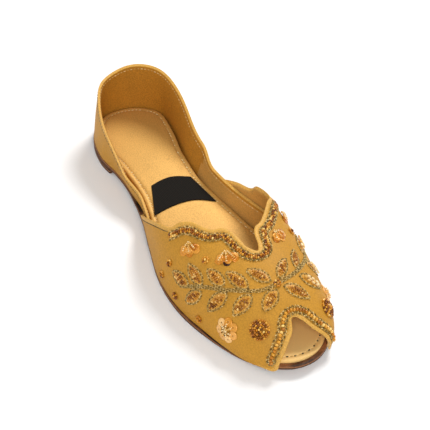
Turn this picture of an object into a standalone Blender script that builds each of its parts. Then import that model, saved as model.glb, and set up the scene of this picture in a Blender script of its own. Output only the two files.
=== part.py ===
"""A woman's embroidered slip-on shoe for the right foot, open at the toe.

X runs from the heel to the toe, +Y to the inner (medial) side of the foot and Z up.
The upper is two leather walls: a heel piece, and a scalloped front piece that laps over its ends.
"""

import math
from collections import namedtuple

import bmesh
import bpy
from mathutils import Matrix, Vector

# Plan of the sole, in metres
SOLE_LENGTH = 0.2488
HEEL_WIDTH = 0.0565
WAIST_WIDTH = 0.048
BALL_WIDTH = 0.0845
TOE_WIDTH = 0.0695

# Side view of the sole
OUTSOLE_THICK = 0.0026
HEEL_LIFT_HIGH = 0.0034
HEEL_LIFT_LONG = 0.049
ARCH_END = 0.150
SPRING_START = 0.188
TOE_SPRING = 0.0040
WELT_STEP = 0.0007
INSOLE_THICK = 0.0026
HEEL_CUSHION = 0.0026
HEEL_INSET = 0.0033
WAIST_INSET = 0.0050
BALL_INSET = 0.0027
TOE_INSET = 0.0012
RIM_WIDE = 0.0036
RIM_STEP = 0.0005
EDGE_ROUND = 0.0006

# Upper
VAMP_WALL = 0.0020
QUARTER_WALL = 0.0017
QUARTER_SET = 0.0004
QUARTER_BOW = 0.0004
INSTEP_HIGH = 0.0415
HEEL_HIGH = 0.0475
TOE_OVERHANG = 0.0030
TOE_OVERHANG_START = 0.78
TOE_OVERHANG_END = 0.96

# Label patch, trims and embroidery
PATCH_THICK = 0.0005
TRIM_WIDE = 0.0058
TRIM_HIGH = 0.0016
TOPLINE_TRIM_SET = 0.0028
TOE_TRIM_SET = 0.0026
# Where each trim starts and ends, as shares of the topline and of the foot line
TOPLINE_TRIM_START = 0.125
TOPLINE_TRIM_END = 0.90
TOE_TRIM_START = 0.31
TOE_TRIM_END = 0.69
STEM_WIDE = 0.0022
STEM_HIGH = 0.0011
LEAF_WIDE = 0.0092
LEAF_HIGH = 0.0016
FLOWER_WIDE = 0.0120
FLOWER_HIGH = 0.0020
CLUSTER_HIGH = 0.0030
DOT_WIDE = 0.0044
DOT_HIGH = 0.0022

# Pieces that meet keep these gaps
GAP = 0.0003
LAYER_GAP = 0.0005

# How finely the round shapes are divided
SOLE_STATIONS = 24
QUARTER_STATIONS = 27
QUARTER_ROWS = 5
VAMP_SPLITS = 4
VAMP_ROWS = 10
# Rows of the front piece crowd towards its foot, and what hangs below the sole's edge comes in the last ones
ROW_CROWDING = 1.7
HANG_POWER = 40
TRIM_SPLITS = 4
LEAF_STATIONS = 8
LEAF_START = 0.18

MEDIAL = 1
LATERAL = -1

# Outline of the sole from the heel's back along the inner side to the toe and back along the outer side
SolePoint = namedtuple("SolePoint", "along aside width")
SOLE_OUTLINE = (
    SolePoint(0.002, -0.018, HEEL_WIDTH),
    SolePoint(0.019, 0.274, HEEL_WIDTH),
    SolePoint(0.072, 0.478, HEEL_WIDTH),
    SolePoint(0.161, 0.460, HEEL_WIDTH),
    SolePoint(0.265, 0.444, WAIST_WIDTH),
    SolePoint(0.370, 0.475, WAIST_WIDTH),
    SolePoint(0.482, 0.592, WAIST_WIDTH),
    SolePoint(0.595, 0.406, BALL_WIDTH),
    SolePoint(0.715, 0.473, BALL_WIDTH),
    SolePoint(0.836, 0.521, TOE_WIDTH),
    SolePoint(0.928, 0.380, TOE_WIDTH),
    SolePoint(0.985, 0.184, TOE_WIDTH),
    SolePoint(1.000, -0.022, TOE_WIDTH),
    SolePoint(0.979, -0.216, TOE_WIDTH),
    SolePoint(0.920, -0.397, TOE_WIDTH),
    SolePoint(0.820, -0.538, TOE_WIDTH),
    SolePoint(0.715, -0.514, BALL_WIDTH),
    SolePoint(0.611, -0.511, BALL_WIDTH),
    SolePoint(0.506, -0.769, WAIST_WIDTH),
    SolePoint(0.406, -0.629, WAIST_WIDTH),
    SolePoint(0.305, -0.556, WAIST_WIDTH),
    SolePoint(0.233, -0.562, WAIST_WIDTH),
    SolePoint(0.153, -0.520, HEEL_WIDTH),
    SolePoint(0.072, -0.450, HEEL_WIDTH),
    SolePoint(0.018, -0.275, HEEL_WIDTH),
)

# Cross sections of the front piece: ridge height as a share of INSTEP_HIGH, the ridge's place aside
# as a share of BALL_WIDTH, how far each side swells past the sole edge as a share of BALL_WIDTH,
# and how square each shoulder is
Section = namedtuple("Section", "along high aside lateral_swell medial_swell lateral_square medial_square")
VAMP_SECTIONS = (
    Section(0.38, 1.62, 0.03, 0.090, 0.110, 0.56, 0.60),
    Section(0.48, 1.42, 0.03, 0.075, 0.110, 0.60, 0.68),
    Section(0.56, 1.27, 0.03, 0.055, 0.100, 0.64, 0.76),
    Section(0.62, 1.15, 0.02, 0.035, 0.065, 0.66, 0.76),
    Section(0.68, 1.06, 0.01, 0.015, 0.030, 0.64, 0.68),
    Section(0.76, 1.00, 0.00, 0.005, 0.000, 0.60, 0.60),
    Section(0.85, 0.865, 0.00, 0.005, -0.005, 0.58, 0.56),
    Section(0.935, 0.635, 0.00, 0.010, 0.010, 0.56, 0.56),
    Section(1.00, 0.36, 0.00, 0.015, 0.045, 0.55, 0.55),
)

# Edges of the front piece, matched point by point: its topline, and its foot line with the toe slot.
# Along is a share of SOLE_LENGTH; round is a share of the way from the ridge to the sole edge.
Edge = namedtuple("Edge", "top_along top_round foot_along foot_round")
LATERAL_EDGE = (
    Edge(0.412, 0.955, 0.405, 1.00),
    Edge(0.469, 0.820, 0.475, 1.00),
    Edge(0.550, 0.630, 0.560, 1.00),
    Edge(0.588, 0.530, 0.650, 1.00),
    Edge(0.600, 0.420, 0.740, 1.00),
    Edge(0.620, 0.320, 0.830, 1.00),
    Edge(0.649, 0.250, 0.905, 1.00),
    Edge(0.663, 0.205, 0.960, 1.07),
    Edge(0.671, 0.130, 0.984, 1.24),
    Edge(0.690, 0.090, 0.990, 0.86),
    Edge(0.716, 0.072, 0.983, 0.44),
    Edge(0.744, 0.056, 0.960, 0.12),
    Edge(0.763, 0.000, 0.932, 0.00),
)
MEDIAL_EDGE = (
    Edge(0.412, 0.890, 0.405, 1.00),
    Edge(0.460, 0.825, 0.475, 1.00),
    Edge(0.509, 0.773, 0.555, 1.00),
    Edge(0.533, 0.690, 0.645, 1.00),
    Edge(0.570, 0.620, 0.740, 1.00),
    Edge(0.604, 0.530, 0.830, 1.00),
    Edge(0.632, 0.370, 0.905, 1.00),
    Edge(0.684, 0.175, 0.960, 1.07),
    Edge(0.696, 0.100, 0.984, 1.24),
    Edge(0.708, 0.068, 0.990, 0.88),
    Edge(0.726, 0.048, 0.982, 0.54),
    Edge(0.748, 0.034, 0.964, 0.23),
    Edge(0.763, 0.000, 0.932, 0.00),
)

# Heel piece: height of its top edge as a share of HEEL_HIGH and how far that edge leans out past the
# sole edge as a share of HEEL_WIDTH, on each side
HeelStep = namedtuple("HeelStep", "along lateral_high medial_high lateral_lean medial_lean")
HEEL_STEPS = (
    HeelStep(0.00, 0.90, 0.98, -0.035, -0.005),
    HeelStep(0.04, 0.89, 0.99, -0.055, -0.015),
    HeelStep(0.08, 0.85, 0.96, -0.055, 0.000),
    HeelStep(0.13, 0.76, 0.89, -0.030, 0.035),
    HeelStep(0.19, 0.67, 0.78, 0.020, 0.075),
    HeelStep(0.27, 0.53, 0.58, 0.080, 0.085),
    HeelStep(0.36, 0.38, 0.48, 0.070, 0.110),
    HeelStep(0.43, 0.31, 0.41, 0.055, 0.090),
    HeelStep(0.50, 0.36, 0.39, 0.030, 0.050),
    HeelStep(0.62, 0.40, 0.48, 0.000, 0.010),
)
QUARTER_END_LATERAL = 0.47
QUARTER_END_MEDIAL = 0.60
QUARTER_TUCK_START = 0.30
QUARTER_TUCK_END = 0.39
# How far along, each way, the heel's top edge is evened out, as a share of the piece's run
TOP_ROUNDING = 0.022

# Label patch on the insole, from its outer to its inner end: shares of SOLE_LENGTH and WAIST_WIDTH
PatchStep = namedtuple("PatchStep", "heel_along heel_aside toe_along toe_aside")
PATCH_STEPS = (
    PatchStep(0.333, -0.300, 0.429, -0.496),
    PatchStep(0.326, -0.156, 0.420, -0.281),
    PatchStep(0.324, -0.010, 0.417, -0.073),
    PatchStep(0.331, 0.115, 0.423, 0.135),
    PatchStep(0.345, 0.256, 0.448, 0.358),
)

# Where the embroidery lies on the front piece. Round is negative on the outer side.
Spot = namedtuple("Spot", "along round")
OUTER_STEM = (
    Spot(0.733, -0.690), Spot(0.752, -0.622), Spot(0.787, -0.515), Spot(0.810, -0.435),
    Spot(0.844, -0.260), Spot(0.856, -0.135), Spot(0.857, -0.070),
)
INNER_STEM = (
    Spot(0.853, 0.072), Spot(0.845, 0.190), Spot(0.822, 0.372), Spot(0.796, 0.500),
)

# Leaves from tip to base; wide is a share of LEAF_WIDE
Leaf = namedtuple("Leaf", "tip_along tip_round base_along base_round wide")
LEAVES = (
    Leaf(0.668, -0.735, 0.728, -0.700, 0.95),
    Leaf(0.694, -0.552, 0.757, -0.590, 0.90),
    Leaf(0.739, -0.860, 0.766, -0.645, 0.95),
    Leaf(0.740, -0.450, 0.796, -0.435, 0.92),
    Leaf(0.802, -0.745, 0.815, -0.462, 1.05),
    Leaf(0.774, -0.335, 0.836, -0.270, 0.92),
    Leaf(0.860, -0.563, 0.853, -0.278, 1.05),
    Leaf(0.796, -0.178, 0.845, -0.045, 0.90),
    Leaf(0.895, -0.262, 0.868, -0.030, 1.00),
    Leaf(0.800, 0.215, 0.845, 0.045, 0.78),
    Leaf(0.903, 0.300, 0.865, 0.055, 0.95),
    Leaf(0.774, 0.385, 0.828, 0.290, 0.72),
    Leaf(0.871, 0.560, 0.848, 0.285, 1.00),
    Leaf(0.704, 0.655, 0.775, 0.535, 0.90),
    Leaf(0.812, 0.760, 0.803, 0.500, 0.90),
)

# Flowers and bead clusters: wide is a share of FLOWER_WIDE, lobed is how deep the petals are cut
Bloom = namedtuple("Bloom", "kind along round wide petals lobed")
BLOOMS = (
    Bloom("flower", 0.670, -0.464, 0.95, 5, 0.20),
    Bloom("flower", 0.747, -0.255, 1.00, 5, 0.20),
    Bloom("flower", 0.866, -0.760, 1.25, 7, 0.14),
    Bloom("flower", 0.736, 0.274, 0.85, 5, 0.20),
    Bloom("flower", 0.661, 0.584, 0.80, 5, 0.20),
    Bloom("flower", 0.864, 0.792, 1.00, 6, 0.16),
    Bloom("bead_cluster", 0.921, -0.439, 1.00, 7, 0.10),
    Bloom("bead_cluster", 0.917, 0.623, 1.00, 7, 0.10),
    Bloom("bead_cluster", 0.855, 0.003, 0.45, 5, 0.10),
)
DOT_SPOTS = (
    Spot(0.646, -0.718), Spot(0.633, -0.880), Spot(0.700, -0.904), Spot(0.787, -0.906),
    Spot(0.719, -0.405), Spot(0.711, 0.511), Spot(0.667, 0.760),
)


def ease(start, end, value):
    """Goes smoothly from 0 at start to 1 at end."""
    share = min(1.0, max(0.0, (value - start) / (end - start)))
    return share * share * (3 - 2 * share)


def mix(first, second, share):
    return first + (second - first) * share


def cubic(before, start, end, after, share):
    """A Catmull-Rom curve from start to end, for numbers and vectors."""
    slope_start = (end - before) * 0.5
    slope_end = (after - start) * 0.5
    square = share * share
    cube = square * share
    return (start * (2 * cube - 3 * square + 1) + slope_start * (cube - 2 * square + share)
            + end * (3 * square - 2 * cube) + slope_end * (cube - square))


def column_at(table, column, along):
    """Value of one named column of a table at a share of the length, on a smooth curve."""
    last = len(table) - 1
    along = min(table[last].along, max(table[0].along, along))
    index = 0
    while index < last - 1 and table[index + 1].along < along:
        index += 1
    low, high = table[index], table[index + 1]
    before, after = table[max(0, index - 1)], table[min(last, index + 2)]
    span = high.along - low.along
    share = (along - low.along) / span
    start, end = getattr(low, column), getattr(high, column)

    def slope(first, second):
        rise = getattr(second, column) - getattr(first, column)
        return rise / (second.along - first.along) * span

    slope_start = slope(before, high)
    slope_end = slope(low, after)
    square = share * share
    cube = square * share
    return (start * (2 * cube - 3 * square + 1) + slope_start * (cube - 2 * square + share)
            + end * (3 * square - 2 * cube) + slope_end * (cube - square))


def closed_curve(points, splits):
    """A smooth closed curve through the points."""
    count = len(points)
    curve = []
    for index in range(count):
        before, start = points[index - 1], points[index]
        end, after = points[(index + 1) % count], points[(index + 2) % count]
        for step in range(splits):
            curve.append(cubic(before, start, end, after, step / splits))
    return curve


def outline_normals(curve):
    count = len(curve)
    normals = []
    for index in range(count):
        run = curve[(index + 1) % count] - curve[index - 1]
        normals.append(Vector((-run.y, run.x)).normalized())
    return normals


OUTLINE_SPLITS = 16
SOLE_CURVE = closed_curve([Vector((row.along * SOLE_LENGTH, row.aside * row.width))
                           for row in SOLE_OUTLINE], OUTLINE_SPLITS)
SOLE_NORMALS = outline_normals(SOLE_CURVE)


def grown_outline(grow):
    """The sole outline moved outwards by a distance that may change along the shoe."""
    return [point + normal * grow(point.x) for point, normal in zip(SOLE_CURVE, SOLE_NORMALS)]


def edge_at(outline, x, side):
    """Distance aside of an outline's edge at a place along the shoe."""
    best = None
    count = len(outline)
    for index in range(count):
        start, end = outline[index], outline[(index + 1) % count]
        if (start.x - x) * (end.x - x) > 0 or start.x == end.x:
            continue
        aside = mix(start.y, end.y, (x - start.x) / (end.x - start.x))
        if best is None or aside * side > best * side:
            best = aside
    return best


UPPER_OUTLINE = grown_outline(
    lambda x: TOE_OVERHANG * ease(TOE_OVERHANG_START, TOE_OVERHANG_END, x / SOLE_LENGTH))


def sole_underside(x):
    seat = HEEL_LIFT_HIGH + GAP
    heel = seat * (1 - ease(HEEL_LIFT_LONG, ARCH_END, x))
    toe = max(0.0, (x - SPRING_START) / (SOLE_LENGTH - SPRING_START))
    return heel + TOE_SPRING * toe * toe


def sole_top(x):
    return sole_underside(x) + OUTSOLE_THICK


def insole_top(x):
    cushion = HEEL_CUSHION * (1 - ease(HEEL_LIFT_LONG, ARCH_END, x))
    return sole_top(x) + GAP + INSOLE_THICK + cushion


def bezier(start, near_start, near_end, end, share):
    rest = 1 - share
    return (start * rest ** 3 + near_start * 3 * rest * rest * share
            + near_end * 3 * rest * share * share + end * share ** 3)


def vamp_point(x, around):
    """Outer face of the front piece. Around is 0 on the ridge, 1 at the sole edge, negative laterally."""
    side = MEDIAL if around >= 0 else LATERAL
    share = abs(around)
    along = x / SOLE_LENGTH
    swell = column_at(VAMP_SECTIONS, "medial_swell" if side == MEDIAL else "lateral_swell", along)
    shoulder = column_at(VAMP_SECTIONS, "medial_square" if side == MEDIAL else "lateral_square", along)
    ridge_y = column_at(VAMP_SECTIONS, "aside", along) * BALL_WIDTH
    ridge_z = column_at(VAMP_SECTIONS, "high", along) * INSTEP_HIGH
    foot_y = edge_at(UPPER_OUTLINE, x, side)
    foot_z = sole_top(x) + GAP
    height = ridge_z - foot_z
    foot = Vector((foot_y, foot_z))
    ridge = Vector((ridge_y, ridge_z))
    near_foot = Vector((foot_y + side * swell * BALL_WIDTH, foot_z + shoulder * height))
    near_ridge = Vector((mix(ridge_y, foot_y, shoulder), ridge_z))
    flat = bezier(ridge, near_ridge, near_foot, foot, min(1.0, share))
    if share > 1:
        flat.y -= (share - 1) * height
    return Vector((x, flat.x, flat.y))


NUDGE = 0.0004


def vamp_frame(x, around):
    """Directions forward, around and out of the front piece's outer face, and the length of one round."""
    step = 0.01
    forward = vamp_point(x + NUDGE, around) - vamp_point(x - NUDGE, around)
    girth = vamp_point(x, around + step) - vamp_point(x, around - step)
    out = forward.cross(girth).normalized()
    return forward.normalized(), girth.normalized(), out, girth.length / (2 * step)


def on_vamp(x, around, lift):
    point = vamp_point(x, around)
    return point + vamp_frame(x, around)[2] * lift


def edge_curves(splits):
    """The topline and the foot line as matched points from the outer wing to the inner one."""
    rows = [(row, LATERAL) for row in LATERAL_EDGE]
    rows += [(row, MEDIAL) for row in reversed(MEDIAL_EDGE[:-1])]
    top = [Vector((row.top_along * SOLE_LENGTH, side * row.top_round)) for row, side in rows]
    foot = [Vector((row.foot_along * SOLE_LENGTH, side * row.foot_round)) for row, side in rows]
    return open_curve(top, splits), open_curve(foot, splits)


def open_curve(points, splits):
    """A smooth open curve through the points."""
    last = len(points) - 1
    curve = []
    for index in range(last):
        before = points[max(0, index - 1)]
        after = points[min(last, index + 2)]
        for step in range(splits):
            curve.append(cubic(before, points[index], points[index + 1], after, step / splits))
    curve.append(points[last])
    return curve


def material(name, colour, rough, metal):
    made = bpy.data.materials.get(name)
    if made is None:
        made = bpy.data.materials.new(name)
        made.use_nodes = True
        shader = made.node_tree.nodes["Principled BSDF"]
        shader.inputs["Base Color"].default_value = (*colour, 1.0)
        shader.inputs["Roughness"].default_value = rough
        shader.inputs["Metallic"].default_value = metal
    return made


def upper_leather():
    return material("gold upper leather", (0.54, 0.30, 0.08), 0.55, 0.1)


def walled(name, outer, inner, finish):
    """A closed wall between two matching grids of points, its outer face first."""
    mesh = bpy.data.meshes.new(name)
    bm = bmesh.new()
    faces = []
    for rows in (outer, inner):
        faces.append([[bm.verts.new(point) for point in row] for row in rows])
    rows, columns = len(outer), len(outer[0])
    for grid in faces:
        for low, high in zip(grid, grid[1:]):
            for index in range(columns - 1):
                bm.faces.new((low[index], low[index + 1], high[index + 1], high[index]))
    rims = [
        [(grid[0][index], grid[rows - 1][index]) for index in range(columns)] for grid in faces
    ]
    for side in (0, 1):
        for index in range(columns - 1):
            bm.faces.new((rims[0][index][side], rims[0][index + 1][side],
                          rims[1][index + 1][side], rims[1][index][side]))
    for side in (0, columns - 1):
        for index in range(rows - 1):
            bm.faces.new((faces[0][index][side], faces[0][index + 1][side],
                          faces[1][index + 1][side], faces[1][index][side]))
    bmesh.ops.recalc_face_normals(bm, faces=bm.faces)
    bm.to_mesh(mesh)
    bm.free()
    return place(name, mesh, finish)


def place(name, mesh, finish):
    mesh.shade_smooth()
    mesh.set_sharp_from_angle(angle=math.radians(40))
    mesh.materials.append(finish)
    thing = bpy.data.objects.new(name, mesh)
    bpy.context.scene.collection.objects.link(thing)
    return thing


def lofted(name, rings, finish, ladder=False, caps=None):
    """A closed solid through rings of points; ladder joins the ring's two sides rung by rung."""
    mesh = bpy.data.meshes.new(name)
    bm = bmesh.new()
    loops = [[bm.verts.new(point) for point in ring] for ring in rings]
    count = len(loops[0])
    for low, high in zip(loops, loops[1:]):
        for index in range(count):
            after = (index + 1) % count
            bm.faces.new((low[index], low[after], high[after], high[index]))
    for end, loop in enumerate((loops[0], loops[-1])):
        if ladder:
            for index in range(count // 2 - 1):
                bm.faces.new((loop[index], loop[index + 1], loop[count - index - 2],
                              loop[count - index - 1]))
        else:
            middle = bm.verts.new(caps[end])
            for index in range(count):
                bm.faces.new((loop[index], loop[(index + 1) % count], middle))
    bmesh.ops.recalc_face_normals(bm, faces=bm.faces)
    bm.to_mesh(mesh)
    bm.free()
    return place(name, mesh, finish)


def plan_ring(grow, height, end=None):
    """A ring at a distance outside the sole outline, with its points paired across the shoe."""
    outline = grown_outline(grow if callable(grow) else lambda x: grow)
    first = min(point.x for point in outline)
    last = end or max(point.x for point in outline)
    sides = {MEDIAL: [], LATERAL: []}
    for step in range(SOLE_STATIONS):
        turn = math.pi * (step + 0.5) / SOLE_STATIONS
        x = mix(first, last, (1 - math.cos(turn)) / 2)
        for side in sides:
            aside = edge_at(outline, x, side)
            sides[side].append(Vector((x, aside, height(x))))
    return sides[MEDIAL] + sides[LATERAL][::-1]


def build_outsole():
    brown = material("brown sole leather", (0.16, 0.06, 0.03), 0.6, 0.0)
    rings = [
        plan_ring(-EDGE_ROUND, sole_underside),
        plan_ring(0.0, lambda x: sole_underside(x) + EDGE_ROUND),
        plan_ring(0.0, lambda x: sole_top(x) - EDGE_ROUND),
        plan_ring(-WELT_STEP, sole_top),
    ]
    return lofted("outsole", rings, brown, ladder=True)


def build_heel_lift():
    dark = material("dark heel leather", (0.10, 0.045, 0.025), 0.65, 0.0)
    rings = [
        plan_ring(-EDGE_ROUND, lambda x: 0.0, end=HEEL_LIFT_LONG),
        plan_ring(0.0, lambda x: EDGE_ROUND, end=HEEL_LIFT_LONG),
        plan_ring(0.0, lambda x: HEEL_LIFT_HIGH, end=HEEL_LIFT_LONG),
    ]
    return lofted("heel_lift", rings, dark, ladder=True)


def insole_inset(x):
    """How far the insole's edge lies inside the sole's, which leaves room for the leather walls."""
    along = x / SOLE_LENGTH
    waist = mix(HEEL_INSET, WAIST_INSET, ease(QUARTER_TUCK_START - 0.03, QUARTER_TUCK_END - 0.03, along))
    ball = mix(waist, BALL_INSET, ease(QUARTER_END_MEDIAL + 0.01, QUARTER_END_MEDIAL + 0.08, along))
    return mix(ball, TOE_INSET, ease(0.82, 0.94, along))


def build_insole():
    gold = material("gold foil leather", (0.75, 0.46, 0.16), 0.3, 0.8)

    def inset(more):
        return lambda x: -insole_inset(x) - more

    rings = [
        plan_ring(inset(0), lambda x: sole_top(x) + GAP),
        plan_ring(inset(0), lambda x: insole_top(x) - EDGE_ROUND),
        plan_ring(inset(EDGE_ROUND), insole_top),
        plan_ring(inset(RIM_WIDE), insole_top),
        plan_ring(inset(RIM_WIDE + RIM_STEP), lambda x: insole_top(x) + RIM_STEP),
    ]
    return lofted("insole", rings, gold, ladder=True)


def quarter_station(share):
    """Outline point, normal and side for a place round the heel, from the outer end to the inner end."""
    outline = SOLE_CURVE
    count = len(outline)
    lateral = [index for index in range(count // 2, count)
               if outline[index].x <= QUARTER_END_LATERAL * SOLE_LENGTH]
    medial = [index for index in range(0, count // 2)
              if outline[index].x <= QUARTER_END_MEDIAL * SOLE_LENGTH]
    order = lateral + medial
    where = share * (len(order) - 1)
    low = min(int(where), len(order) - 2)
    first, second = order[low], order[low + 1]
    part = where - low
    point = mix(outline[first], outline[second], part)
    normal = mix(SOLE_NORMALS[first], SOLE_NORMALS[second], part).normalized()
    return point, normal


def vamp_round_at(x, side, height):
    """How far round the front piece's outer face comes down to a height, from 0 to 1."""
    low, high = 0.0, 1.0
    for halving in range(16):
        middle = (low + high) / 2
        if vamp_point(x, side * middle).z > height:
            low = middle
        else:
            high = middle
    return high


def quarter_free(share, rise):
    """The heel piece's outer face at one station, before its top edge is rounded."""
    point, normal = quarter_station(share)
    along = point.x / SOLE_LENGTH
    inner = ease(-0.2, 0.2, point.y / HEEL_WIDTH)
    high = mix(column_at(HEEL_STEPS, "lateral_high", along),
               column_at(HEEL_STEPS, "medial_high", along), inner) * HEEL_HIGH
    lean = mix(column_at(HEEL_STEPS, "lateral_lean", along),
               column_at(HEEL_STEPS, "medial_lean", along), inner) * HEEL_WIDTH
    foot_z = sole_top(point.x) + GAP
    bow = 4 * rise * (1 - rise) * QUARTER_BOW
    flat = point + normal * (lean * rise + bow - QUARTER_SET)
    return Vector((flat.x, flat.y, mix(foot_z, high, rise)))


def quarter_point(share, rise):
    """The heel piece's outer face: its top edge is drawn out of the corners of the sole's outline."""
    reach = min(TOP_ROUNDING, share / 2, (1 - share) / 2)
    drawn = sum((quarter_free(share + step * reach, 1) * (3 - abs(step)) for step in (-2, -1, 0, 1, 2)),
                Vector()) / 9
    free = quarter_free(share, rise) + (drawn - quarter_free(share, 1)) * min(1.0, max(0.0, rise))
    point = quarter_station(share)[0]
    tuck = ease(QUARTER_TUCK_START, QUARTER_TUCK_END, point.x / SOLE_LENGTH)
    if tuck == 0:
        return free
    side = MEDIAL if point.y > 0 else LATERAL
    around = side * vamp_round_at(free.x, side, free.z)
    return mix(free, on_vamp(free.x, around, -VAMP_WALL - LAYER_GAP), tuck)


def quarter_inside(share, rise):
    """The inner face of the heel piece, straight in from its outer face."""
    step = 0.002
    run = quarter_point(min(1.0, share + step), rise) - quarter_point(max(0.0, share - step), rise)
    up = quarter_point(share, rise + step) - quarter_point(share, rise - step)
    inward = run.cross(up).normalized()
    inside = quarter_point(share, rise) + inward * QUARTER_WALL
    inside.z = max(inside.z, sole_top(inside.x) + GAP)
    return inside


def build_quarter():
    count = 2 * QUARTER_STATIONS
    outer, inner = [], []
    for row in range(QUARTER_ROWS + 1):
        rise = row / QUARTER_ROWS
        outer.append([quarter_point(step / count, rise) for step in range(count + 1)])
        inner.append([quarter_inside(step / count, rise) for step in range(count + 1)])
    return walled("quarter", outer, inner, upper_leather())


def vamp_spot(high, low, share):
    """A place between the topline and the foot line."""
    side = MEDIAL if low.y >= 0 else LATERAL
    edge = Vector((low.x, side * min(1.0, abs(low.y))))
    spot = mix(high, edge, share)
    spot.y += (low.y - edge.y) * share ** HANG_POWER
    return spot


def build_vamp():
    top, foot = edge_curves(VAMP_SPLITS)
    outer, inner = [], []
    for row in range(VAMP_ROWS + 1):
        share = 1 - (1 - row / VAMP_ROWS) ** ROW_CROWDING
        flat = [vamp_spot(high, low, share) for high, low in zip(top, foot)]
        outer.append([vamp_point(point.x, point.y) for point in flat])
        inner.append([on_vamp(point.x, point.y, -VAMP_WALL) for point in flat])
    return walled("vamp", outer, inner, upper_leather())


def build_label_patch():
    black = material("black label cloth", (0.012, 0.011, 0.010), 0.85, 0.0)
    heel_edge = open_curve([Vector((row.heel_along * SOLE_LENGTH, row.heel_aside * WAIST_WIDTH))
                            for row in PATCH_STEPS], 3)
    toe_edge = open_curve([Vector((row.toe_along * SOLE_LENGTH, row.toe_aside * WAIST_WIDTH))
                           for row in PATCH_STEPS], 3)
    lower, upper = [], []
    for step in range(5):
        line = [mix(heel, toe, step / 4) for heel, toe in zip(heel_edge, toe_edge)]
        seat = [insole_top(point.x) + RIM_STEP + GAP for point in line]
        lower.append([Vector((point.x, point.y, z)) for point, z in zip(line, seat)])
        upper.append([Vector((point.x, point.y, z + PATCH_THICK)) for point, z in zip(line, seat)])
    walled("label_patch", upper, lower, black)


def moved_on_vamp(spot, move):
    """The place on the front piece reached from a spot by a short move along its face."""
    along_x = (vamp_point(spot.x + NUDGE, spot.y) - vamp_point(spot.x - NUDGE, spot.y)) / (2 * NUDGE)
    step = 0.01
    along_round = (vamp_point(spot.x, spot.y + step) - vamp_point(spot.x, spot.y - step)) / (2 * step)
    xx, xr, rr = along_x.dot(along_x), along_x.dot(along_round), along_round.dot(along_round)
    part_x, part_round = along_x.dot(move), along_round.dot(move)
    scale = xx * rr - xr * xr
    return Vector((spot.x + (part_x * rr - part_round * xr) / scale,
                   spot.y + (part_round * xx - part_x * xr) / scale))


def across(line, index):
    """Direction across a line on the front piece, square to it and along the leather."""
    before, after = line[max(0, index - 1)], line[min(len(line) - 1, index + 1)]
    run = vamp_point(after.x, after.y) - vamp_point(before.x, before.y)
    out = vamp_frame(line[index].x, line[index].y)[2]
    return run.cross(out).normalized()


def beside(line, distance):
    """A line on the front piece at a distance from another, on the side that faces away from its edge."""
    moved = [moved_on_vamp(spot, across(line, index) * distance) for index, spot in enumerate(line)]
    for smoothing in range(3):
        inner = [(before + spot * 2 + after) / 4 for before, spot, after in zip(moved, moved[1:], moved[2:])]
        moved = moved[:1] + inner + moved[-1:]
    return moved


def raised_strip(name, line, half_width, height, finish):
    """A low strip on the front piece along a line of spots, rounded over its middle."""
    last = len(line) - 1
    rings = []
    for index, spot in enumerate(line):
        reach = across(line, index) * half_width(index / last)
        near, far = moved_on_vamp(spot, -reach), moved_on_vamp(spot, reach)
        rings.append([on_vamp(near.x, near.y, GAP), on_vamp(spot.x, spot.y, GAP), on_vamp(far.x, far.y, GAP),
                      on_vamp(far.x, far.y, GAP + height / 2), on_vamp(spot.x, spot.y, GAP + height),
                      on_vamp(near.x, near.y, GAP + height / 2)])
    return lofted(name, rings, finish, ladder=True)


def zari_thread():
    return material("gold zari thread", (0.42, 0.31, 0.14), 0.45, 0.5)


def amber_beads():
    return material("amber beads", (0.40, 0.16, 0.04), 0.25, 0.2)


def trim_line(curve, start, end, distance):
    part = curve[int(start * (len(curve) - 1)):int(end * (len(curve) - 1)) + 1]
    return beside(part, distance)


def build_trims():
    half = TRIM_WIDE / 2
    finish = amber_beads()
    top, foot = edge_curves(TRIM_SPLITS)
    line = trim_line(top, TOPLINE_TRIM_START, TOPLINE_TRIM_END, TOPLINE_TRIM_SET + half)
    raised_strip("topline_trim", line, lambda share: half, TRIM_HIGH, finish)
    line = trim_line(foot, TOE_TRIM_START, TOE_TRIM_END, -TOE_TRIM_SET - half)
    raised_strip("toe_trim", line, lambda share: half, TRIM_HIGH, finish)


def build_stems():
    for name, spots in (("stem_outer", OUTER_STEM), ("stem_inner", INNER_STEM)):
        line = open_curve([Vector((spot.along * SOLE_LENGTH, spot.round)) for spot in spots], 3)
        raised_strip(name, line, lambda share: STEM_WIDE / 2, STEM_HIGH, zari_thread())


def build_leaves():
    for number, row in enumerate(LEAVES, 1):
        tip = Vector((row.tip_along * SOLE_LENGTH, row.tip_round))
        base = Vector((row.base_along * SOLE_LENGTH, row.base_round))
        line = [mix(base, tip, mix(LEAF_START, 1.0, step / LEAF_STATIONS)) for step in range(LEAF_STATIONS + 1)]
        half = LEAF_WIDE * row.wide / 2
        raised_strip(f"leaf_{number:02d}", line,
                     lambda share: half * (0.12 + 0.88 * math.sin(math.pi * share ** 0.85) ** 0.75),
                     LEAF_HIGH, zari_thread())


def raised_pad(name, spot, radius, petals, lobed, height, finish):
    """A low rounded pad on the front piece, with a lobed edge."""
    around_count = petals * 4
    forward, girth, out, _ = vamp_frame(spot.x, spot.y)
    aside = out.cross(forward).normalized()

    def ring(size, lift):
        points = []
        for step in range(around_count):
            turn = 2 * math.pi * step / around_count
            reach = radius * size * (1 - lobed + lobed * math.cos(petals * turn))
            place_on = moved_on_vamp(spot, (forward * math.cos(turn) + aside * math.sin(turn)) * reach)
            points.append(on_vamp(place_on.x, place_on.y, lift))
        return points

    rings = [ring(0.5, GAP), ring(0.96, GAP), ring(1.0, GAP + height * 0.45), ring(0.6, GAP + height)]
    return lofted(name, rings, finish, caps=(on_vamp(spot.x, spot.y, GAP), on_vamp(spot.x, spot.y, GAP + height)))


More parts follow.
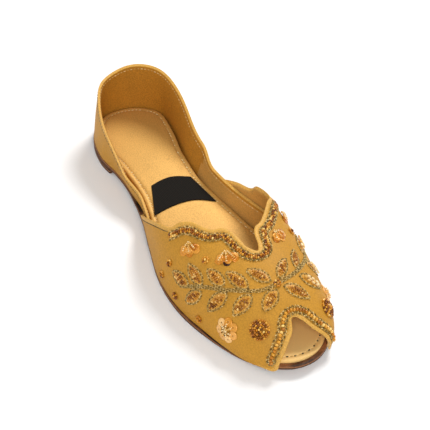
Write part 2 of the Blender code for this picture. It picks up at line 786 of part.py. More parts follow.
def build_blooms():
    peach = material("peach sequins", (0.80, 0.47, 0.22), 0.25, 0.6)
    dark = material("dark amber beads", (0.16, 0.06, 0.02), 0.25, 0.2)
    counts = {}
    for row in BLOOMS:
        counts[row.kind] = counts.get(row.kind, 0) + 1
        flower = row.kind == "flower"
        raised_pad(f"{row.kind}_{counts[row.kind]:02d}", Vector((row.along * SOLE_LENGTH, row.round)),
                   FLOWER_WIDE * row.wide / 2, row.petals, row.lobed,
                   FLOWER_HIGH if flower else CLUSTER_HIGH, peach if flower else dark)
    for number, spot in enumerate(DOT_SPOTS, 1):
        raised_pad(f"bead_dot_{number:02d}", Vector((spot.along * SOLE_LENGTH, spot.round)),
                   DOT_WIDE / 2, 3, 0.06, DOT_HIGH, dark)


def clear_scene():
    for thing in list(bpy.data.objects):
        bpy.data.objects.remove(thing, do_unlink=True)


def centre_on_footprint():
    """Moves every piece so that the shoe stands on z = 0 with its bounding box centred on the origin."""
    things = bpy.data.objects
    points = [vert.co for thing in things for vert in thing.data.vertices]
    low = Vector(min(point[axis] for point in points) for axis in range(3))
    high = Vector(max(point[axis] for point in points) for axis in range(3))
    shift = Vector((-(low.x + high.x) / 2, -(low.y + high.y) / 2, -low.z))
    for thing in things:
        thing.data.transform(Matrix.Translation(shift))
    return shift


def main():
    clear_scene()
    build_outsole()
    build_heel_lift()
    build_insole()
    build_label_patch()
    build_quarter()
    build_vamp()
    build_trims()
    build_stems()
    build_leaves()
    build_blooms()
    return centre_on_footprint()


SHIFT = main()
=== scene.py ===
"""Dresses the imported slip-on shoe in leather, foil, metal thread, beads and sequins.

The leather walls are finer sheets on the same surfaces as the CAD walls, and the embroidery
is laid on the finished leather. Lengths are in metres, and +X runs to the toe.
"""

import math
import random
from collections import namedtuple

import bpy
from mathutils import Matrix, Vector
from mathutils.bvhtree import BVHTree


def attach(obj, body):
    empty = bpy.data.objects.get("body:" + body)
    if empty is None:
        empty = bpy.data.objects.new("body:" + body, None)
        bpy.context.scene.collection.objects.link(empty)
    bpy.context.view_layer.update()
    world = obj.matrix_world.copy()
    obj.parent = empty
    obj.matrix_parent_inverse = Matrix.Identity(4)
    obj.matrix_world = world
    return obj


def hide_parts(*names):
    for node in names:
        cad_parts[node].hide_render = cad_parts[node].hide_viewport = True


bl_info = {
    "name": "Embroidered slip-on shoe",
    "version": (1, 0, 0),
    "blender": (4, 5, 0),
    "location": "3D View > Sidebar > Shoe",
    "description": "Dresses an embroidered leather slip-on shoe, piece by piece",
    "category": "Object",
}

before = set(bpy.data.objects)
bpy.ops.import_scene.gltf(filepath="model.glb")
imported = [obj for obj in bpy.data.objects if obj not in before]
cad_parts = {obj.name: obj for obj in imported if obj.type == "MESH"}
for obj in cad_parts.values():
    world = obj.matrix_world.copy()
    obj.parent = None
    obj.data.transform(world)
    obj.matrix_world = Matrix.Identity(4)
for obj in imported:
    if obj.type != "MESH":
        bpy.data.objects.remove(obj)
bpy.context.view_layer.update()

MM = 0.001

# From the heel's back, where the tables start, to the middle of the footprint
FOOTPRINT_SHIFT = Vector((-0.1245586, 0.0029928, 0.0))

# The CAD's own sizes, which the fine surfaces follow
SOLE_LENGTH = 0.2488
HEEL_WIDTH = 0.0565
WAIST_WIDTH = 0.048
BALL_WIDTH = 0.0845
TOE_WIDTH = 0.0695
OUTSOLE_THICK = 0.0026
HEEL_LIFT_HIGH = 0.0034
HEEL_LIFT_LONG = 0.049
ARCH_END = 0.150
SPRING_START = 0.188
TOE_SPRING = 0.0040
WELT_STEP = 0.0007
# Towards the toe the trodden sole edge shows this far outside the upper, growing between two shares
WELT_SHOWS = 0.0014
WELT_SHOWS_START = 0.55
WELT_SHOWS_END = 0.80
INSOLE_THICK = 0.0026
HEEL_CUSHION = 0.0026
HEEL_INSET = 0.0033
WAIST_INSET = 0.0050
BALL_INSET = 0.0027
TOE_INSET = 0.0012
# Where the insole's inset changes, as shares of the length: ahead of the heel piece's tuck, past its
# inner end, and at the toe
TUCK_LEAD = 0.03
BALL_INSET_FROM = 0.01
BALL_INSET_TO = 0.08
TOE_INSET_START = 0.82
TOE_INSET_END = 0.94
RIM_STEP = 0.0005
EDGE_ROUND = 0.0006
VAMP_WALL = 0.0020
QUARTER_WALL = 0.0017
QUARTER_SET = 0.0004
QUARTER_BOW = 0.0004
INSTEP_HIGH = 0.0415
HEEL_HIGH = 0.0475
TOE_OVERHANG = 0.0030
TOE_OVERHANG_START = 0.78
TOE_OVERHANG_END = 0.96
PATCH_THICK = 0.0005
TRIM_WIDE = 0.0058
TOPLINE_TRIM_SET = 0.0028
TOE_TRIM_SET = 0.0026
LEAF_WIDE = 0.0092
FLOWER_WIDE = 0.0120
GAP = 0.0003
LAYER_GAP = 0.0005
QUARTER_END_LATERAL = 0.47
QUARTER_END_MEDIAL = 0.60
QUARTER_TUCK_START = 0.30
QUARTER_TUCK_END = 0.39
TOP_ROUNDING = 0.022
# Forward of this share of the length the front piece's edge is left raw
RAW_EDGE_START = 0.88
# Forward of this share of the length the heel piece is lined with foil
HEEL_FOIL_START = 0.33

# How finely the leather is divided
SOLE_SPLITS = 16
SOLE_STATIONS = 110
LEATHER_SPLITS = 12
LEATHER_ROWS = 30
QUARTER_COLUMNS = 170
QUARTER_ROWS = 22
COLUMN_SAMPLES = 60
PATCH_SPLITS = 8
PATCH_ROWS = 16
EDGE_SPLITS = 8
STEM_SPLITS = 6
LEAF_STEPS = 16
HEEL_SEAM_STEPS = 160
# The samples down a column of the front piece crowd towards its foot by this power
ROW_CROWDING = 1.7
# What hangs past the sole's edge is let down in a column's last part only, by this power
HANG_POWER = 40
# The foot line is folded round the toe slot only: it eases in between two shares of the length, and is
# full where the line runs nearer the ridge than the last of these
SLOT_FOLD_START = 0.955
SLOT_FOLD_END = 0.984
SLOT_FOLD_ROUND = 0.95
# A fold takes at most this share of a column's length
FOLD_ROOM = 0.2
# A fold is widened for columns that leave the edge aslant, down to this sine
LEAST_SINE = 0.45
# Places in a leather piece's list of finishes: the skin and its folded edge come first, the inside and
# the cut rim so many places after them
SKIN = 0
FOLDED = 1
INSIDE_AFTER = 2
RIM_AFTER = 3
# Softened corners of the leather
CORNER_ROUND = 0.3 * MM
CORNER_ANGLE = math.radians(55)
LEATHER_SMOOTH = math.radians(50)
PLATE_SMOOTH = math.radians(40)

# Sizes of the finishes' patterns, as texture scales: a band of a wave is 0.314 divided by its scale
DYE_PATCH_SCALE = 70.0
SOLE_LAYER_SCALE = 160.0
WEAVE_SCALE = 320.0
SILK_SCALE = 1400.0
# Between these places along X the foil turns paler and less metallic towards the toe: painted light that
# stands in for light reaching into the shaded toe slot
TOE_PAINTED_LIGHT_START = 0.085
TOE_PAINTED_LIGHT_END = 0.102
FOIL_METAL = 0.25
TOE_PAINTED_LIGHT_METAL = 0.05
TOE_PAINTED_LIGHT_SHARE = 0.85

MEDIAL = 1
LATERAL = -1

# The camera of the photograph
CAMERA_AZIMUTH = 59.82
CAMERA_ELEVATION = 42.64
CAMERA_ROLL = 2.79
CAMERA_DISTANCE = 0.75872
CAMERA_LENS = 104.25
CAMERA_TARGET = Vector((0.13308, 0.00408, 0.020))

# Outline of the sole from the heel's back along the inner side to the toe and back along the outer side
SolePoint = namedtuple("SolePoint", "along aside width")
SOLE_OUTLINE = (
    SolePoint(0.002, -0.018, HEEL_WIDTH),
    SolePoint(0.019, 0.274, HEEL_WIDTH),
    SolePoint(0.072, 0.478, HEEL_WIDTH),
    SolePoint(0.161, 0.460, HEEL_WIDTH),
    SolePoint(0.265, 0.444, WAIST_WIDTH),
    SolePoint(0.370, 0.475, WAIST_WIDTH),
    SolePoint(0.482, 0.592, WAIST_WIDTH),
    SolePoint(0.595, 0.406, BALL_WIDTH),
    SolePoint(0.715, 0.473, BALL_WIDTH),
    SolePoint(0.836, 0.521, TOE_WIDTH),
    SolePoint(0.928, 0.380, TOE_WIDTH),
    SolePoint(0.985, 0.184, TOE_WIDTH),
    SolePoint(1.000, -0.022, TOE_WIDTH),
    SolePoint(0.979, -0.216, TOE_WIDTH),
    SolePoint(0.920, -0.397, TOE_WIDTH),
    SolePoint(0.820, -0.538, TOE_WIDTH),
    SolePoint(0.715, -0.514, BALL_WIDTH),
    SolePoint(0.611, -0.511, BALL_WIDTH),
    SolePoint(0.506, -0.769, WAIST_WIDTH),
    SolePoint(0.406, -0.629, WAIST_WIDTH),
    SolePoint(0.305, -0.556, WAIST_WIDTH),
    SolePoint(0.233, -0.562, WAIST_WIDTH),
    SolePoint(0.153, -0.520, HEEL_WIDTH),
    SolePoint(0.072, -0.450, HEEL_WIDTH),
    SolePoint(0.018, -0.275, HEEL_WIDTH),
)

# Cross sections of the front piece, as in the CAD
Section = namedtuple("Section", "along high aside lateral_swell medial_swell lateral_square medial_square")
VAMP_SECTIONS = (
    Section(0.38, 1.62, 0.03, 0.090, 0.110, 0.56, 0.60),
    Section(0.48, 1.42, 0.03, 0.075, 0.110, 0.60, 0.68),
    Section(0.56, 1.27, 0.03, 0.055, 0.100, 0.64, 0.76),
    Section(0.62, 1.15, 0.02, 0.035, 0.065, 0.66, 0.76),
    Section(0.68, 1.06, 0.01, 0.015, 0.030, 0.64, 0.68),
    Section(0.76, 1.00, 0.00, 0.005, 0.000, 0.60, 0.60),
    Section(0.85, 0.865, 0.00, 0.005, -0.005, 0.58, 0.56),
    Section(0.935, 0.635, 0.00, 0.010, 0.010, 0.56, 0.56),
    Section(1.00, 0.36, 0.00, 0.015, 0.045, 0.55, 0.55),
)

# Edges of the front piece, as in the CAD: its topline, and its foot line with the toe slot
Edge = namedtuple("Edge", "top_along top_round foot_along foot_round")
LATERAL_EDGE = (
    Edge(0.412, 0.955, 0.405, 1.00),
    Edge(0.469, 0.820, 0.475, 1.00),
    Edge(0.550, 0.630, 0.560, 1.00),
    Edge(0.588, 0.530, 0.650, 1.00),
    Edge(0.600, 0.420, 0.740, 1.00),
    Edge(0.620, 0.320, 0.830, 1.00),
    Edge(0.649, 0.250, 0.905, 1.00),
    Edge(0.663, 0.205, 0.960, 1.07),
    Edge(0.671, 0.130, 0.984, 1.24),
    Edge(0.690, 0.090, 0.990, 0.86),
    Edge(0.716, 0.072, 0.983, 0.44),
    Edge(0.744, 0.056, 0.960, 0.12),
    Edge(0.763, 0.000, 0.932, 0.00),
)
MEDIAL_EDGE = (
    Edge(0.412, 0.890, 0.405, 1.00),
    Edge(0.460, 0.825, 0.475, 1.00),
    Edge(0.509, 0.773, 0.555, 1.00),
    Edge(0.533, 0.690, 0.645, 1.00),
    Edge(0.570, 0.620, 0.740, 1.00),
    Edge(0.604, 0.530, 0.830, 1.00),
    Edge(0.632, 0.370, 0.905, 1.00),
    Edge(0.684, 0.175, 0.960, 1.07),
    Edge(0.696, 0.100, 0.984, 1.24),
    Edge(0.708, 0.068, 0.990, 0.88),
    Edge(0.726, 0.048, 0.982, 0.54),
    Edge(0.748, 0.034, 0.964, 0.23),
    Edge(0.763, 0.000, 0.932, 0.00),
)

# Heel piece, as in the CAD: height of its top edge and how far that edge leans out
HeelStep = namedtuple("HeelStep", "along lateral_high medial_high lateral_lean medial_lean")
HEEL_STEPS = (
    HeelStep(0.00, 0.90, 0.98, -0.035, -0.005),
    HeelStep(0.04, 0.89, 0.99, -0.055, -0.015),
    HeelStep(0.08, 0.85, 0.96, -0.055, 0.000),
    HeelStep(0.13, 0.76, 0.89, -0.030, 0.035),
    HeelStep(0.19, 0.67, 0.78, 0.020, 0.075),
    HeelStep(0.27, 0.53, 0.58, 0.080, 0.085),
    HeelStep(0.36, 0.38, 0.48, 0.070, 0.110),
    HeelStep(0.43, 0.31, 0.41, 0.055, 0.090),
    HeelStep(0.50, 0.36, 0.39, 0.030, 0.050),
    HeelStep(0.62, 0.40, 0.48, 0.000, 0.010),
)

# Label patch, from its outer to its inner end
PatchStep = namedtuple("PatchStep", "heel_along heel_aside toe_along toe_aside")
PATCH_STEPS = (
    PatchStep(0.333, -0.300, 0.429, -0.496),
    PatchStep(0.326, -0.156, 0.420, -0.281),
    PatchStep(0.324, -0.010, 0.417, -0.073),
    PatchStep(0.331, 0.115, 0.423, 0.135),
    PatchStep(0.345, 0.256, 0.448, 0.358),
)

# The folded edge of the leather: distance from the edge and how far it stands up
FoldStep = namedtuple("FoldStep", "distance lift")
FOLD_STEPS = (
    FoldStep(0.00 * MM, -0.05 * MM),
    FoldStep(0.25 * MM, 0.20 * MM),
    FoldStep(0.70 * MM, 0.36 * MM),
    FoldStep(1.40 * MM, 0.38 * MM),
    FoldStep(2.00 * MM, 0.30 * MM),
    FoldStep(2.35 * MM, 0.12 * MM),
    FoldStep(2.60 * MM, 0.00 * MM),
)

# The heel piece's folded edge is lower
HEEL_FOLD_STEPS = (
    FoldStep(0.00 * MM, -0.05 * MM),
    FoldStep(0.25 * MM, 0.12 * MM),
    FoldStep(0.70 * MM, 0.20 * MM),
    FoldStep(1.40 * MM, 0.18 * MM),
    FoldStep(2.00 * MM, 0.10 * MM),
    FoldStep(2.50 * MM, 0.00 * MM),
)

# Soft dents in the front piece, listed: middle, half length, half width, depth and turn
Dent = namedtuple("Dent", "along round long wide deep turn")
DENTS = (
    Dent(0.585, -0.80, 0.020, 0.0060, 0.0004, 0.5),
    Dent(0.640, -0.66, 0.018, 0.0045, 0.0003, 0.9),
    Dent(0.640, 0.80, 0.022, 0.0050, 0.0004, -0.4),
    Dent(0.780, 0.05, 0.016, 0.0050, 0.0002, 1.5),
    Dent(0.905, -0.20, 0.014, 0.0045, 0.0002, 0.9),
    Dent(0.930, 0.62, 0.012, 0.0040, 0.0003, -0.8),
)

# The beaded trims along the topline and the foot line: the stretch of the line, how far beside it their
# middle runs, the beads' width, the rows of beads in bead widths, and the darkest tint
Trim = namedtuple("Trim", "name start end aside bead rows darkest")
TRIMS = (
    Trim("topline", 0.125, 0.90, TOPLINE_TRIM_SET + TRIM_WIDE / 2, 1.0, (-0.46, 0.46), 0.0),
    Trim("toe", 0.31, 0.69, -TOE_TRIM_SET - TRIM_WIDE / 2, 1.35, (0.0,), 0.35),
)
# The trims' cords are this much wider than the leaves'
TRIM_CORD = 1.2

# Where the embroidery lies, as in the CAD. Round is negative on the outer side.
Spot = namedtuple("Spot", "along round")
STEM_SPOTS = (
    Spot(0.712, -0.745), Spot(0.733, -0.690), Spot(0.752, -0.622), Spot(0.787, -0.515),
    Spot(0.810, -0.435), Spot(0.844, -0.260), Spot(0.856, -0.135), Spot(0.855, 0.003),
    Spot(0.845, 0.190), Spot(0.822, 0.372), Spot(0.790, 0.530), Spot(0.762, 0.610),
)
Leaf = namedtuple("Leaf", "tip_along tip_round base_along base_round wide")
LEAVES = (
    Leaf(0.668, -0.735, 0.728, -0.700, 0.95),
    Leaf(0.694, -0.552, 0.757, -0.590, 0.90),
    Leaf(0.739, -0.860, 0.766, -0.645, 0.95),
    Leaf(0.740, -0.450, 0.796, -0.435, 0.92),
    Leaf(0.802, -0.745, 0.815, -0.462, 1.05),
    Leaf(0.774, -0.335, 0.836, -0.270, 0.92),
    Leaf(0.860, -0.563, 0.853, -0.278, 1.05),
    Leaf(0.796, -0.178, 0.845, -0.045, 0.90),
    Leaf(0.895, -0.262, 0.868, -0.030, 1.00),
    Leaf(0.800, 0.215, 0.845, 0.045, 0.78),
    Leaf(0.903, 0.300, 0.865, 0.055, 0.95),
    Leaf(0.774, 0.385, 0.828, 0.290, 0.72),
    Leaf(0.871, 0.560, 0.848, 0.285, 1.00),
    Leaf(0.704, 0.655, 0.775, 0.535, 0.90),
    Leaf(0.812, 0.760, 0.803, 0.500, 0.90),
)
# Leaves that reach further round the inner side than this carry long bugle beads
BUGLE_SIDE = 0.54
BUGLE_LIFT = 0.9 * MM
BUGLE_LONG = 2.4
# A leaf's outline, as powers: where along it the belly lies, and how full it is
LEAF_BELLY = 0.85
LEAF_FULL = 0.75
# Rows of beads in a leaf, as shares of its half width
LEAF_ROWS = (-0.40, 0.0, 0.40)
# The silk pad across a leaf: share of its half width and height
SilkStep = namedtuple("SilkStep", "share lift")
SILK_STEPS = (
    SilkStep(1.0, 0.12 * MM),
    SilkStep(0.6, 0.30 * MM),
    SilkStep(0.0, 0.36 * MM),
    SilkStep(-0.6, 0.30 * MM),
    SilkStep(-1.0, 0.12 * MM),
)
SILK_THICK = 0.1 * MM
# A flower opens over its spread round its turn; a full turn of spread is a round flower
FULL_TURN = 6.283
Flower = namedtuple("Flower", "along round wide petals turn spread dark_petal")
FLOWERS = (
    Flower(0.670, -0.464, 1.00, 3, -0.55, 1.9, -1),
    Flower(0.747, -0.255, 1.05, 3, -0.50, 2.0, 1),
    Flower(0.866, -0.760, 1.32, 7, 0.10, FULL_TURN, -1),
    Flower(0.736, 0.274, 0.95, 3, 0.60, 2.1, -1),
    Flower(0.661, 0.584, 0.95, 3, 0.60, 2.1, -1),
    Flower(0.864, 0.792, 1.10, 6, 0.20, FULL_TURN, -1),
)
# The two kinds of flower: a sequin's size, how many lie in one petal, the petals' reach and how far back
# they start in flower radiuses, and the range of tints
Bloom = namedtuple("Bloom", "sequin layers reach back tints")
ROUND_BLOOM = Bloom(1.22, 1, 1.0, 0.0, (0.62, 1.0))
OPEN_BLOOM = Bloom(1.0, 3, 1.6, 0.8, (0.25, 0.75))
# In a petal each sequin lies further in than the last, in sequin widths, turned a little and higher
LAYER_IN = 0.24
LAYER_TURN = 0.14
LAYER_LIFT = 0.35 * MM
SEQUIN_LIFT = 0.55 * MM
# The string of beads over a petal: its steps in bead widths, its lift and the height of its arch
STRING_STEP = 0.92
STRING_LIFT = 0.9 * MM
STRING_ARCH = 0.8 * MM
Cluster = namedtuple("Cluster", "along round wide high")
CLUSTERS = (
    Cluster(0.921, -0.439, 12.0 * MM, 3.2 * MM),
    Cluster(0.917, 0.623, 12.0 * MM, 3.2 * MM),
    Cluster(0.855, 0.003, 5.0 * MM, 2.2 * MM),
)
DOT_SPOTS = (
    Spot(0.646, -0.718), Spot(0.633, -0.880), Spot(0.700, -0.904), Spot(0.787, -0.906),
    Spot(0.719, -0.405), Spot(0.711, 0.511), Spot(0.667, 0.760),
)
DOT_WIDE = 4.8 * MM
DOT_HIGH = 2.2 * MM

# One turn of thread in a braided cord, as shares of the cord's width, and its slant
CORD_TURN = (0.86, 0.46, 0.5)
CORD_ASIDE = 0.25
CORD_LIFT = 0.2
CORD_SLANT = 0.6
# How high a bead's middle lies above the leather, as a share of its width
BEAD_LIFT = 0.42

# Seams: the distance between stitches, a stitch's length, width and height, its lift and its slant
Stitch = namedtuple("Stitch", "spacing long wide high lift slant")
INSOLE_STITCH = Stitch(2.5 * MM, 1.8 * MM, 0.75 * MM, 0.50 * MM, 0.22 * MM, 0.35)
TOE_STITCH = Stitch(4.6 * MM, 1.5 * MM, 1.10 * MM, 0.50 * MM, 0.30 * MM, 0.0)
HEEL_STITCH = Stitch(2.3 * MM, 1.6 * MM, 0.55 * MM, 0.42 * MM, 0.10 * MM, 0.0)
EDGE_STITCH = Stitch(0.8 * MM, 1.0 * MM, 0.55 * MM, 0.50 * MM, 0.15 * MM, 0.0)
INSOLE_SEAM_INSET = 3.05 * MM
INSOLE_SEAM_DROP = 0.3 * MM
TOE_SEAM_START = 0.93
HEEL_SEAM_DROP = 2.9 * MM
HEEL_SEAM_END = 0.02
EDGE_CORD_SET = 2.75 * MM
# The dark cord shows where the topline's trim ends, at these shares of the topline
EDGE_CORD_RUNS = ((0.02, 0.13), (0.89, 0.98))

Lamp = namedtuple("Lamp", "name place size power")
LAMPS = (
    Lamp("key softbox", (-0.40, 0.65, 0.90), 0.5, 11.8),
    Lamp("front softbox", (0.80, -0.36, 0.70), 0.5, 6.4),
    Lamp("side softbox", (-0.70, -0.80, 0.50), 0.8, 2.7),
)
SURROUND_STRENGTH = 0.36
FLOOR_WIDE = 6.0


def ease(start, end, value):
    """Goes smoothly from 0 at start to 1 at end."""
    share = min(1.0, max(0.0, (value - start) / (end - start)))
    return share * share * (3 - 2 * share)


def mix(first, second, share):
    return first + (second - first) * share


def cubic(before, start, end, after, share):
    """A Catmull-Rom curve from start to end, for numbers and vectors."""
    slope_start = (end - before) * 0.5
    slope_end = (after - start) * 0.5
    return hermite(start, slope_start, end, slope_end, share)


def hermite(start, slope_start, end, slope_end, share):
    square = share * share
    cube = square * share
    return (start * (2 * cube - 3 * square + 1) + slope_start * (cube - 2 * square + share)
            + end * (3 * square - 2 * cube) + slope_end * (cube - square))


def column_at(table, column, along):
    """Value of one named column of a table at a share of the length, on a smooth curve."""
    last = len(table) - 1
    along = min(table[last].along, max(table[0].along, along))
    index = 0
    while index < last - 1 and table[index + 1].along < along:
        index += 1
    low, high = table[index], table[index + 1]
    before, after = table[max(0, index - 1)], table[min(last, index + 2)]
    span = high.along - low.along

    def slope(first, second):
        return (getattr(second, column) - getattr(first, column)) / (second.along - first.along) * span

    return hermite(getattr(low, column), slope(before, high), getattr(high, column), slope(low, after),
                   (along - low.along) / span)


def closed_curve(points, splits):
    """A smooth closed curve through the points."""
    count = len(points)
    curve = []
    for index in range(count):
        before, start = points[index - 1], points[index]
        end, after = points[(index + 1) % count], points[(index + 2) % count]
        for step in range(splits):
            curve.append(cubic(before, start, end, after, step / splits))
    return curve


def open_curve(points, splits):
    """A smooth open curve through the points."""
    last = len(points) - 1
    curve = []
    for index in range(last):
        before = points[max(0, index - 1)]
        after = points[min(last, index + 2)]
        for step in range(splits):
            curve.append(cubic(before, points[index], points[index + 1], after, step / splits))
    curve.append(points[last])
    return curve


def outline_normals(curve):
    count = len(curve)
    normals = []
    for index in range(count):
        run = curve[(index + 1) % count] - curve[index - 1]
        normals.append(Vector((-run.y, run.x)).normalized())
    return normals


SOLE_CURVE = closed_curve([Vector((row.along * SOLE_LENGTH, row.aside * row.width))
                           for row in SOLE_OUTLINE], SOLE_SPLITS)
SOLE_NORMALS = outline_normals(SOLE_CURVE)


def grown_outline(grow):
    """The sole outline moved outwards by a distance that may change along the shoe."""
    return [point + normal * grow(point.x) for point, normal in zip(SOLE_CURVE, SOLE_NORMALS)]


def edge_at(outline, x, side):
    """Distance aside of an outline's edge at a place along the shoe."""
    best = None
    count = len(outline)
    for index in range(count):
        start, end = outline[index], outline[(index + 1) % count]
        if (start.x - x) * (end.x - x) > 0 or start.x == end.x:
            continue
        aside = mix(start.y, end.y, (x - start.x) / (end.x - start.x))
        if best is None or aside * side > best * side:
            best = aside
    return best


def edge_table(outline, side, steps=1200):
    """An outline's edge at even steps along the shoe, to read quickly."""
    first = min(point.x for point in outline)
    last = max(point.x for point in outline)
    inset = (last - first) / steps / 50
    first, last = first + inset, last - inset
    sides = [edge_at(outline, mix(first, last, step / steps), side) for step in range(steps + 1)]
    return first, last, sides


UPPER_OUTLINE = grown_outline(
    lambda x: TOE_OVERHANG * ease(TOE_OVERHANG_START, TOE_OVERHANG_END, x / SOLE_LENGTH))
UPPER_EDGES = {side: edge_table(UPPER_OUTLINE, side) for side in (MEDIAL, LATERAL)}


def upper_edge(x, side):
    first, last, sides = UPPER_EDGES[side]
    where = (min(last, max(first, x)) - first) / (last - first) * (len(sides) - 1)
    index = min(int(where), len(sides) - 2)
    return mix(sides[index], sides[index + 1], where - index)


def sole_underside(x):
    heel = (HEEL_LIFT_HIGH + GAP) * (1 - ease(HEEL_LIFT_LONG, ARCH_END, x))
    toe = max(0.0, (x - SPRING_START) / (SOLE_LENGTH - SPRING_START))
    return heel + TOE_SPRING * toe * toe


def sole_top(x):
    return sole_underside(x) + OUTSOLE_THICK


def insole_top(x):
    cushion = HEEL_CUSHION * (1 - ease(HEEL_LIFT_LONG, ARCH_END, x))
    return sole_top(x) + GAP + INSOLE_THICK + cushion


def insole_inset(x):
    """How far the insole's edge lies inside the sole's."""
    along = x / SOLE_LENGTH
    tucked = ease(QUARTER_TUCK_START - TUCK_LEAD, QUARTER_TUCK_END - TUCK_LEAD, along)
    past = ease(QUARTER_END_MEDIAL + BALL_INSET_FROM, QUARTER_END_MEDIAL + BALL_INSET_TO, along)
    ball = mix(mix(HEEL_INSET, WAIST_INSET, tucked), BALL_INSET, past)
    return mix(ball, TOE_INSET, ease(TOE_INSET_START, TOE_INSET_END, along))


def bezier(start, near_start, near_end, end, share):
    rest = 1 - share
    return (start * rest ** 3 + near_start * 3 * rest * rest * share
            + near_end * 3 * rest * share * share + end * share ** 3)


def vamp_point(x, around):
    """Outer face of the front piece. Around is 0 on the ridge, 1 at the sole edge, negative laterally."""
    side = MEDIAL if around >= 0 else LATERAL
    share = abs(around)
    along = x / SOLE_LENGTH
    swell = column_at(VAMP_SECTIONS, "medial_swell" if side == MEDIAL else "lateral_swell", along)
    shoulder = column_at(VAMP_SECTIONS, "medial_square" if side == MEDIAL else "lateral_square", along)
    ridge_y = column_at(VAMP_SECTIONS, "aside", along) * BALL_WIDTH
    ridge_z = column_at(VAMP_SECTIONS, "high", along) * INSTEP_HIGH
    foot_y = upper_edge(x, side)
    foot_z = sole_top(x) + GAP
    height = ridge_z - foot_z
    near_foot = Vector((foot_y + side * swell * BALL_WIDTH, foot_z + shoulder * height))
    near_ridge = Vector((mix(ridge_y, foot_y, shoulder), ridge_z))
    flat = bezier(Vector((ridge_y, ridge_z)), near_ridge, near_foot, Vector((foot_y, foot_z)),
                  min(1.0, share))
    if share > 1:
        flat.y -= (share - 1) * height
    return Vector((x, flat.x, flat.y))


# Steps along and round the front piece, for reading its slopes
NUDGE = 0.0004
TURN_NUDGE = 0.01


def vamp_slopes(x, around):
    """How the front piece's face runs on along the shoe and around it."""
    forward = (vamp_point(x + NUDGE, around) - vamp_point(x - NUDGE, around)) / (2 * NUDGE)
    girth = (vamp_point(x, around + TURN_NUDGE) - vamp_point(x, around - TURN_NUDGE)) / (2 * TURN_NUDGE)
    return forward, girth


def vamp_out(x, around):
    forward, girth = vamp_slopes(x, around)
    return forward.cross(girth).normalized()


def moved_on_vamp(spot, move):
    """The place on the front piece reached from a spot by a short move along its face."""
    forward, girth = vamp_slopes(spot.x, spot.y)
    xx, xr, rr = forward.dot(forward), forward.dot(girth), girth.dot(girth)
    part_x, part_round = forward.dot(move), girth.dot(move)
    scale = xx * rr - xr * xr
    return Vector((spot.x + (part_x * rr - part_round * xr) / scale,
                   spot.y + (part_round * xx - part_x * xr) / scale))


def across(line, index):
    """Direction across a line on the front piece, square to it and along the leather."""
    before, after = line[max(0, index - 1)], line[min(len(line) - 1, index + 1)]
    run = vamp_point(after.x, after.y) - vamp_point(before.x, before.y)
    return run.cross(vamp_out(line[index].x, line[index].y)).normalized()


def beside(line, distances):
    """A line on the front piece at a distance from another; distances may be one or one per point."""
    if not isinstance(distances, list):
        distances = [distances] * len(line)
    return evened([moved_on_vamp(spot, across(line, index) * distance)
                   for index, (spot, distance) in enumerate(zip(line, distances))], 3)


def edge_curves(splits):
    """The topline and the foot line as matched points from the outer wing to the inner one."""
    rows = [(row, LATERAL) for row in LATERAL_EDGE]
    rows += [(row, MEDIAL) for row in reversed(MEDIAL_EDGE[:-1])]
    top = [Vector((row.top_along * SOLE_LENGTH, side * row.top_round)) for row, side in rows]
    foot = [Vector((row.foot_along * SOLE_LENGTH, side * row.foot_round)) for row, side in rows]
    return open_curve(top, splits), open_curve(foot, splits)


def spot_on_vamp(along, around):
    return Vector((along * SOLE_LENGTH, around))


def quarter_station(share):
    """Outline point and normal for a place round the heel, from the outer end to the inner end."""
    count = len(SOLE_CURVE)
    lateral = [index for index in range(count // 2, count)
               if SOLE_CURVE[index].x <= QUARTER_END_LATERAL * SOLE_LENGTH]
    medial = [index for index in range(0, count // 2)
              if SOLE_CURVE[index].x <= QUARTER_END_MEDIAL * SOLE_LENGTH]
    order = lateral + medial
    where = share * (len(order) - 1)
    low = min(int(where), len(order) - 2)
    first, second = order[low], order[low + 1]
    point = mix(SOLE_CURVE[first], SOLE_CURVE[second], where - low)
    return point, mix(SOLE_NORMALS[first], SOLE_NORMALS[second], where - low).normalized()


def vamp_round_at(x, side, height):
    """How far round the front piece's outer face comes down to a height, from 0 to 1."""
    low, high = 0.0, 1.0
    for halving in range(14):
        middle = (low + high) / 2
        if vamp_point(x, side * middle).z > height:
            low = middle
        else:
            high = middle
    return high


def quarter_free(share, rise):
    """The heel piece's outer face at one station, before its top edge is rounded."""
    point, normal = quarter_station(share)
    along = point.x / SOLE_LENGTH
    inner = ease(-0.2, 0.2, point.y / HEEL_WIDTH)
    high = mix(column_at(HEEL_STEPS, "lateral_high", along),
               column_at(HEEL_STEPS, "medial_high", along), inner) * HEEL_HIGH
    lean = mix(column_at(HEEL_STEPS, "lateral_lean", along),
               column_at(HEEL_STEPS, "medial_lean", along), inner) * HEEL_WIDTH
    bow = 4 * rise * (1 - rise) * QUARTER_BOW
    flat = point + normal * (lean * rise + bow - QUARTER_SET)
    return Vector((flat.x, flat.y, mix(sole_top(point.x) + GAP, high, rise)))


def top_draw(share):
    """How far the heel's top edge is drawn out of the corners of the sole's outline."""
    reach = min(TOP_ROUNDING, share / 2, (1 - share) / 2)
    drawn = sum((quarter_free(share + step * reach, 1) * (3 - abs(step)) for step in (-2, -1, 0, 1, 2)),
                Vector()) / 9
    return drawn - quarter_free(share, 1)


def quarter_point(share, rise, draw):
    free = quarter_free(share, rise) + draw * rise
    point = quarter_station(share)[0]
    tuck = ease(QUARTER_TUCK_START, QUARTER_TUCK_END, point.x / SOLE_LENGTH)
    if tuck == 0:
        return free
    side = MEDIAL if point.y > 0 else LATERAL
    around = side * vamp_round_at(free.x, side, free.z)
    inside = vamp_point(free.x, around) - vamp_out(free.x, around) * (VAMP_WALL + LAYER_GAP)
    return mix(free, inside, tuck)


